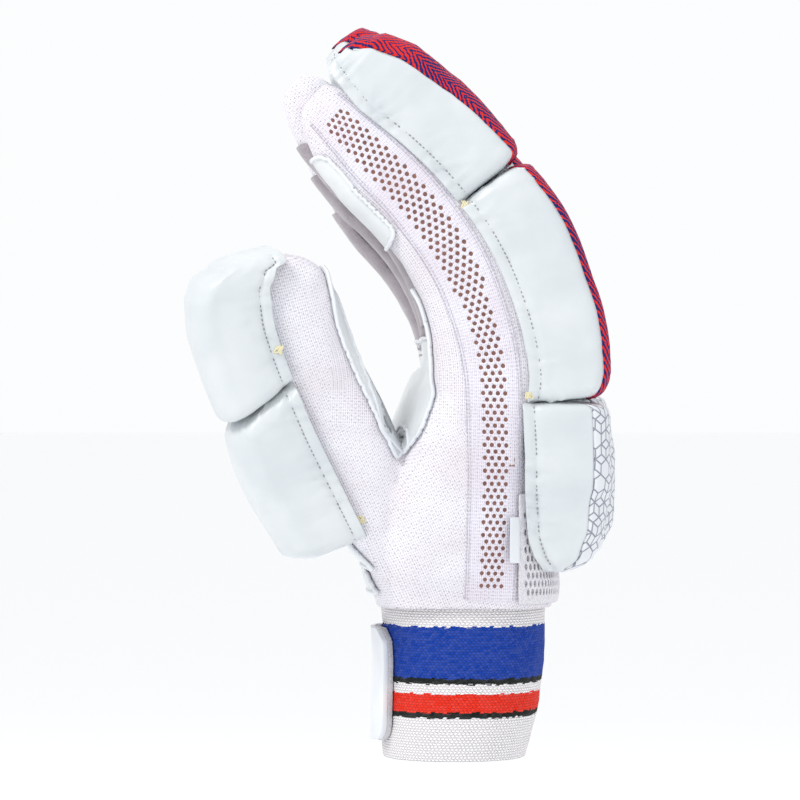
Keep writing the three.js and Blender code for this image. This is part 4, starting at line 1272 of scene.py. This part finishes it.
pierced = {
    "from": -0.576, "to": 0.955, "cells": 8, "pitch": 3.4, "row": 2.35,
    "lift": 0.4, "thick": 0.9, "opening": 0.56,
    "along": (-0.6, -0.2, 0.25, 0.5, 0.75, 0.96), "half": (9.8, 10.6, 11, 11.5, 11, 8.2),
    "holes": (4.4, 4.4, 5.2, 6.9, 6.9, 4.4), "shift": (4.6, 4.6, 1, 1, 2.4, 4),
    "seams": (-0.97, -0.87, 0.84, 0.94), "lining": 0.66, "liningColumns": 9, "liningRows": 90,
}
panelHalf = pierced["cells"] / 2 * pierced["pitch"]
panelLong = (pierced["to"] - pierced["from"]) * fingers["index"]["length"]


def panelPlace(flats):
    t = pierced["from"] + flats[:, 1] / fingers["index"]["length"]
    at = indexPath(t)
    across = flats[:, 0] / panelHalf * read(pierced, "half", t, 0.04)
    points = at["point"] + at["back"] * (across + read(pierced, "shift", t, 0.04))[:, None]
    return onThumbSide(points, pierced["lift"])


def makePanel():
    rows = int(panelLong / pierced["row"])

    def opened(u, v, i):
        t = pierced["from"] + v / fingers["index"]["length"]
        scale = read(pierced, "half", t) / panelHalf
        return abs(u) * scale < read(pierced, "holes", t) and 1 < i < rows - 2

    panel = netMesh("pierced_panel_knit", panelPlace, pierced["cells"], rows, pierced["pitch"],
                    panelLong / rows, opened, "pierced")
    openNet(panel, "pierced", pierced, (0, -1, 0))
    near = nearestOn(indexPath, fingers["index"]["length"], -0.62, 1.02, pointsOf(panel.data))
    setFlat(panel, np.stack([near["u"], near["v"]], -1)[verticesOf(panel.data)])
    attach(panel, "root")
    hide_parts("pierced_panel")
    # what shows through the holes
    rows, columns, half = pierced["liningRows"], pierced["liningColumns"], pierced["lining"] * panelHalf
    flats = np.array([(x, y) for y in np.linspace(2, panelLong - 2, rows)
                      for x in np.linspace(-half, half, columns)])
    points = panelPlace(flats) + (0, pierced["lift"] - 0.12, 0)
    lining = ringFaces(rows, columns, closed=False)
    liner = makePiece("panel_lining", points, lining, finishes["lining"], flats)
    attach(liner, "root")
    v = np.linspace(1, panelLong - 1, 160)
    sides = [panelPlace(np.stack([np.full_like(v, side * panelHalf), v], -1)) - (0, 0.05, 0)
             for side in pierced["seams"]]
    linePiece("panel_seams", sides, "stitch", "seam", "pierced_knit", Pitch=1.5 * mm, Length=1.15 * mm,
              Thickness=0.42 * mm)


makePanel()
print("pierced panel made")


patch = {"lift": 0.3, "thick": 1.1, "nearestCut": 0.02, "corner": 6, "outside": -9}


# A patch of leather cut out of the knit's own surface, where field is above zero. It gives its rim.
def cutPatch(name, field, finish):
    shape = bmesh.new()
    shape.from_mesh(skinMesh)
    level = shape.verts.layers.float.new("level")
    for vert, value in zip(shape.verts, field(pointsOf(skinMesh))):
        vert[level] = value
    far = [v for v in shape.verts if v[level] < 0 and all(e.other_vert(v)[level] < 0 for e in v.link_edges)]
    bmesh.ops.delete(shape, geom=far, context="VERTS")
    made = set()
    for edge in [e for e in shape.edges if (e.verts[0][level] > 0) != (e.verts[1][level] > 0)]:
        a, b = edge.verts
        share = a[level] / (a[level] - b[level])
        share = min(max(share, patch["nearestCut"]), 1 - patch["nearestCut"])
        new = bmesh.utils.edge_split(edge, a, share)[1]
        new[level] = 0
        made.add(new)
    for face in shape.faces[:]:
        ends = [v for v in face.verts if v in made]
        if len(ends) == 2:
            bmesh.ops.connect_verts(shape, verts=ends)
    out = [f for f in shape.faces if sum(v[level] for v in f.verts) <= 0]
    bmesh.ops.delete(shape, geom=out, context="FACES")
    bmesh.ops.smooth_vert(shape, verts=[v for v in shape.verts if not v.is_boundary], factor=0.5,
                          use_axis_x=True, use_axis_y=True, use_axis_z=True)
    mesh = bpy.data.meshes.new(f"{name}_leather")
    shape.to_mesh(mesh)
    shape.free()
    piece = linked(f"{name}_leather", mesh)
    mesh.materials.append(finishes[finish])
    setPoints(mesh, pointsOf(mesh) + normalsOf(mesh) * (patch["lift"] + patch["thick"]))
    rim = rimLines(mesh)
    setFlat(piece, knitFlat(mesh))
    applied(piece, "SOLIDIFY", thickness=patch["thick"] * mm, offset=-1, use_even_offset=False)
    makeSmooth(piece.data)
    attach(piece, "root")
    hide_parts(name)
    return rim


def rimLines(mesh):
    # the edges of an open mesh, as chains of points
    shape = bmesh.new()
    shape.from_mesh(mesh)
    links = {}
    for edge in shape.edges:
        if edge.is_boundary:
            a, b = (v.index for v in edge.verts)
            links.setdefault(a, []).append(b)
            links.setdefault(b, []).append(a)
    shape.free()
    points = pointsOf(mesh)
    lines, seen = [], set()
    for start in links:
        if start in seen:
            continue
        chain, at = [start], start
        seen.add(start)
        while True:
            ahead = [k for k in links[at] if k not in seen]
            if not ahead:
                break
            at = ahead[0]
            seen.add(at)
            chain.append(at)
        if len(chain) > 12:
            lines.append(points[chain + [chain[0]]])
    return lines


# Above zero inside a shape with two straight edges and a round corner where they meet.
def cornered(a, b, corner, inside):
    off = np.hypot(np.minimum(a - corner, 0), np.minimum(b - corner, 0))
    return np.where(inside, corner - off, patch["outside"])


# Shares of the finger's length and depth, and half of the patch's breadth.
fingerPatch = {"index": 0.54, "others": 0.2, "tip": 0.88, "round": 0.66, "reach": 0.72, "half": 12.6}
thumbPatch = {"below": 0.36, "reach": 0.75, "from": 30, "narrowsFrom": 84, "narrows": 0.1}
# The palm's patch rises in a smooth step beside the thumb, which it leaves free.
palmPatch = {"foot": 63, "top": 158, "outerTop": 176, "outerFrom": -26.5, "edge": -34, "edgeIn": 10.5,
             "front": -8, "frontIn": 6, "stepFrom": 104, "stepOver": 22, "thumbFree": 13.5, "corner": 7}


def fingerField(name):
    f = fingers[name]
    low = fingerPatch["index" if name == "index" else "others"] * f["length"]

    def field(points):
        at = nearestOn(f["path"], f["length"], -0.1, 1.02, points)
        t = at["v"] / f["length"]
        half = f["depth"] * read(fingerSections, "depth", t) / 2
        below = f["depth"] * read(fingerSections, "rise", t) - half * fingerPatch["round"] - at["u"]
        ahead = np.minimum(at["v"] - low, f["length"] * fingerPatch["tip"] - at["v"])
        near = at["apart"] < f["depth"] * fingerPatch["reach"]
        inside = near & (np.abs(at["side"]) < fingerPatch["half"])
        return cornered(below, ahead, patch["corner"], inside)

    return field


def thumbField(points):
    at = nearestOn(thumbPath, thumb["length"], -0.1, 1.03, points)
    below = at["u"] - thumb["depth"] * thumbPatch["below"]
    below -= np.maximum(at["v"] - thumbPatch["narrowsFrom"], 0) * thumbPatch["narrows"]
    near = at["apart"] < thumb["depth"] * thumbPatch["reach"]
    return np.where(near, np.minimum(below, at["v"] - thumbPatch["from"]), patch["outside"])


def palmField(points):
    x, y, z = points.T
    palm = palmPatch
    thumbNear = nearestOn(thumbPath, thumb["length"], -0.1, 1, points)["apart"]
    rise = np.clip((z - palm["stepFrom"]) / palm["stepOver"], 0, 1)
    rise = rise * rise * (3 - 2 * rise)
    top = np.where(y < palm["outerFrom"], palm["outerTop"], palm["top"]) - z
    left = y - palm["edge"] + palm["edgeIn"] * rise
    inHand = np.minimum(palm["front"] + palm["frontIn"] * rise - x, np.minimum(z - palm["foot"], top))
    return cornered(inHand, left, palm["corner"], thumbNear > palm["thumbFree"])


fields = {**{name: fingerField(name) for name in fingerNames}, "thumb": thumbField, "palm": palmField}
rims = {name: cutPatch(f"{name}_patch", field, "suede" if name in fingerNames[1:] else "palm")
        for name, field in fields.items()}
linePiece("patch_piping", rims["index"] + rims["thumb"] + rims["palm"], "piping", "tape", "palm_leather",
          Radius=0.75 * mm)
print("patches made")


# Loose ends of waxed thread, knotted where two seams meet.
knots = {"places": ((-64.5, -22, 153), (-35, -42, 90.5), (3.6, -52, 206.5), (27, -51, 136.5)),
         "turns": 3, "size": 1.7}


# The nearest leather or knit that a line along +Y meets, from in front of the thumb side.
def frontOf(x, z):
    hits = []
    for piece in bpy.data.objects:
        if piece.type == "MESH" and piece.name.endswith(("_leather", "knit_body")) and not piece.hide_render:
            hit = treeOf(piece.data).ray_cast(Vector((x, -140, z)) * mm, Vector((0, 1, 0)))[0]
            hits += [hit.y / mm] if hit else []
    return min(hits, default=None)


def makeKnots():
    lines, size = [], knots["size"]
    for order, (x, y, z) in enumerate(knots["places"]):
        front = frontOf(x, z)
        y = y if front is None else front - 0.2
        turn = np.linspace(0, 2 * np.pi * knots["turns"], 40)
        zero = turn * 0
        wander = np.stack([noiseAt(np.stack([turn * 0.5, zero, zero + order * 7 + k], -1))
                           for k in range(3)], -1)
        loop = np.stack([np.cos(turn), np.full_like(turn, -0.25), np.sin(turn * 1.3)], -1)
        lines.append(np.array([x, y, z]) + loop * size * 0.6 + wander * size * (1, 0.3, 1))
    linePiece("thread_knots", lines, "piping", "wax", "pad_leather", Step=0.4 * mm, Radius=0.32 * mm)


makeKnots()


# Spacer mesh over the heel of the hand's back.
net = {"columns": 44, "rows": 13, "pitchU": 3.0, "pitchV": 3.2, "border": 1.2, "edge": 22.5, "low": 58.5,
       "high": 100, "lift": 2.2, "thick": 0.7, "opening": 0.66, "sides": 900}


def netPlace(flats):
    share = flats[:, 0] / (net["columns"] / 2 * net["pitchU"])
    z = net["low"] + flats[:, 1] / (net["rows"] * net["pitchV"]) * (net["high"] - net["low"])
    a = (z - glove["handFrom"]) / glove["handLength"]
    out = np.empty((len(flats), 3))
    for value in np.unique(a):
        ring = handRings(2, net["sides"], value, value + 1e-6)[0]
        ring = ring[ring[:, 0] > net["edge"]]
        ring = ring[np.argsort(ring[:, 1])]
        middle = np.array([glove["handDepth"] * read(handSections, "middle", value), 0, 0])
        long = np.concatenate([[0], np.cumsum(np.linalg.norm(np.diff(ring, axis=0), axis=-1))])
        ring = ring + unit((ring - middle) * (1, 1, 0)) * net["lift"]
        row, places = a == value, long / long[-1] * 2 - 1
        out[row] = np.stack([np.interp(share[row], places, ring[:, k]) for k in range(3)], -1)
    return out


def makeSpacer():
    def opened(u, v, i):
        return abs(u) < (net["columns"] / 2 - net["border"]) * net["pitchU"] and 0 < i < net["rows"] - 1

    piece = netMesh("spacer_mesh_net", netPlace, net["columns"], net["rows"], net["pitchU"], net["pitchV"],
                    opened, "spacer")
    openNet(piece, "spacer", net, (1, 0, 0))
    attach(piece, "root")
    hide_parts("spacer_mesh")


makeSpacer()


# Slabs of cloth: a grid of points and the way out of it, between two heights.
def slab(name, grid, out, low, high, finish, slotName):
    rows, columns = grid.shape[:2]
    whole = np.concatenate([grid + out * high, (grid + out * low)[:, ::-1]], 1)
    around = np.broadcast_to(np.arange(columns * 2) * 1.0, (rows, columns * 2))
    piece = gridPiece(name, whole, finish, flatOf(around, np.arange(rows) * 1.0))
    applied(piece, "BEVEL", width=0.35 * (high - low) * mm, segments=2, limit_method="ANGLE", angle_limit=0.9)
    makeSmooth(piece.data)
    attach(piece, "root")
    return piece


strap = {"low": 6, "high": 49, "half": 20, "corner": 7, "chamfer": 4.5, "rows": 36, "columns": 24,
         "loops": (0.3, 2.5), "webbing": (2.55, 4.4)}
label = {"x": (20.4, 23.9), "z": (74.5, 91.2), "tape": (2.6, 3.3), "fold": (3.35, 4.0),
         "foldOff": (-0.25, 0, 0.3)}


def makeStrap():
    rows, columns, corner = strap["rows"], strap["columns"], strap["corner"]
    z = np.linspace(strap["low"], strap["high"], rows)
    # the lower corners are round and the upper ones are cut off
    near = np.minimum(z - strap["low"], corner)
    cut = corner - np.sqrt(corner ** 2 - (corner - near) ** 2)
    half = strap["half"] - np.maximum(cut, strap["chamfer"] - (strap["high"] - z))
    grid = np.empty((rows, columns, 3))
    for i, ring in enumerate(bandRings(z / glove["bandHeight"], 0, 900)):
        ring = ring[ring[:, 0] < 0]
        ring = ring[np.argsort(ring[:, 1])]
        y = np.linspace(-half[i], half[i], columns)
        grid[i] = np.stack([np.interp(y, ring[:, 1], ring[:, 0]), y, np.full(columns, z[i])], -1)
    out = gridNormals(grid)
    out *= np.sign(-out[..., :1])
    loops = slab("strap_loops", grid, out, *strap["loops"], "fluff", "strap")
    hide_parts("strap_tab")
    slab("strap_webbing", grid, out, *strap["webbing"], "tape", "strap")


def makeLabel():
    grid = np.array([[(x, 0, z) for x in np.linspace(*label["x"], 5)] for z in np.linspace(*label["z"], 12)])
    grid = onThumbSide(grid.reshape(-1, 3), 0).reshape(grid.shape)
    out = np.broadcast_to((0.0, -1.0, 0.0), grid.shape)
    lower = slab("label_tape", grid, out, *label["tape"], "tape", "label")
    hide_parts("label_tab")
    slab("label_fold", grid + label["foldOff"], out, *label["fold"], "tape", "label")


makeStrap()
makeLabel()
print("band, strap, label and spacer made")

linePiece("pad_stitches", stitchLines, "stitch", "grey", "pad_leather", Pitch=1.7 * mm, Length=1.15 * mm,
          Thickness=0.5 * mm)
print("stitches made")
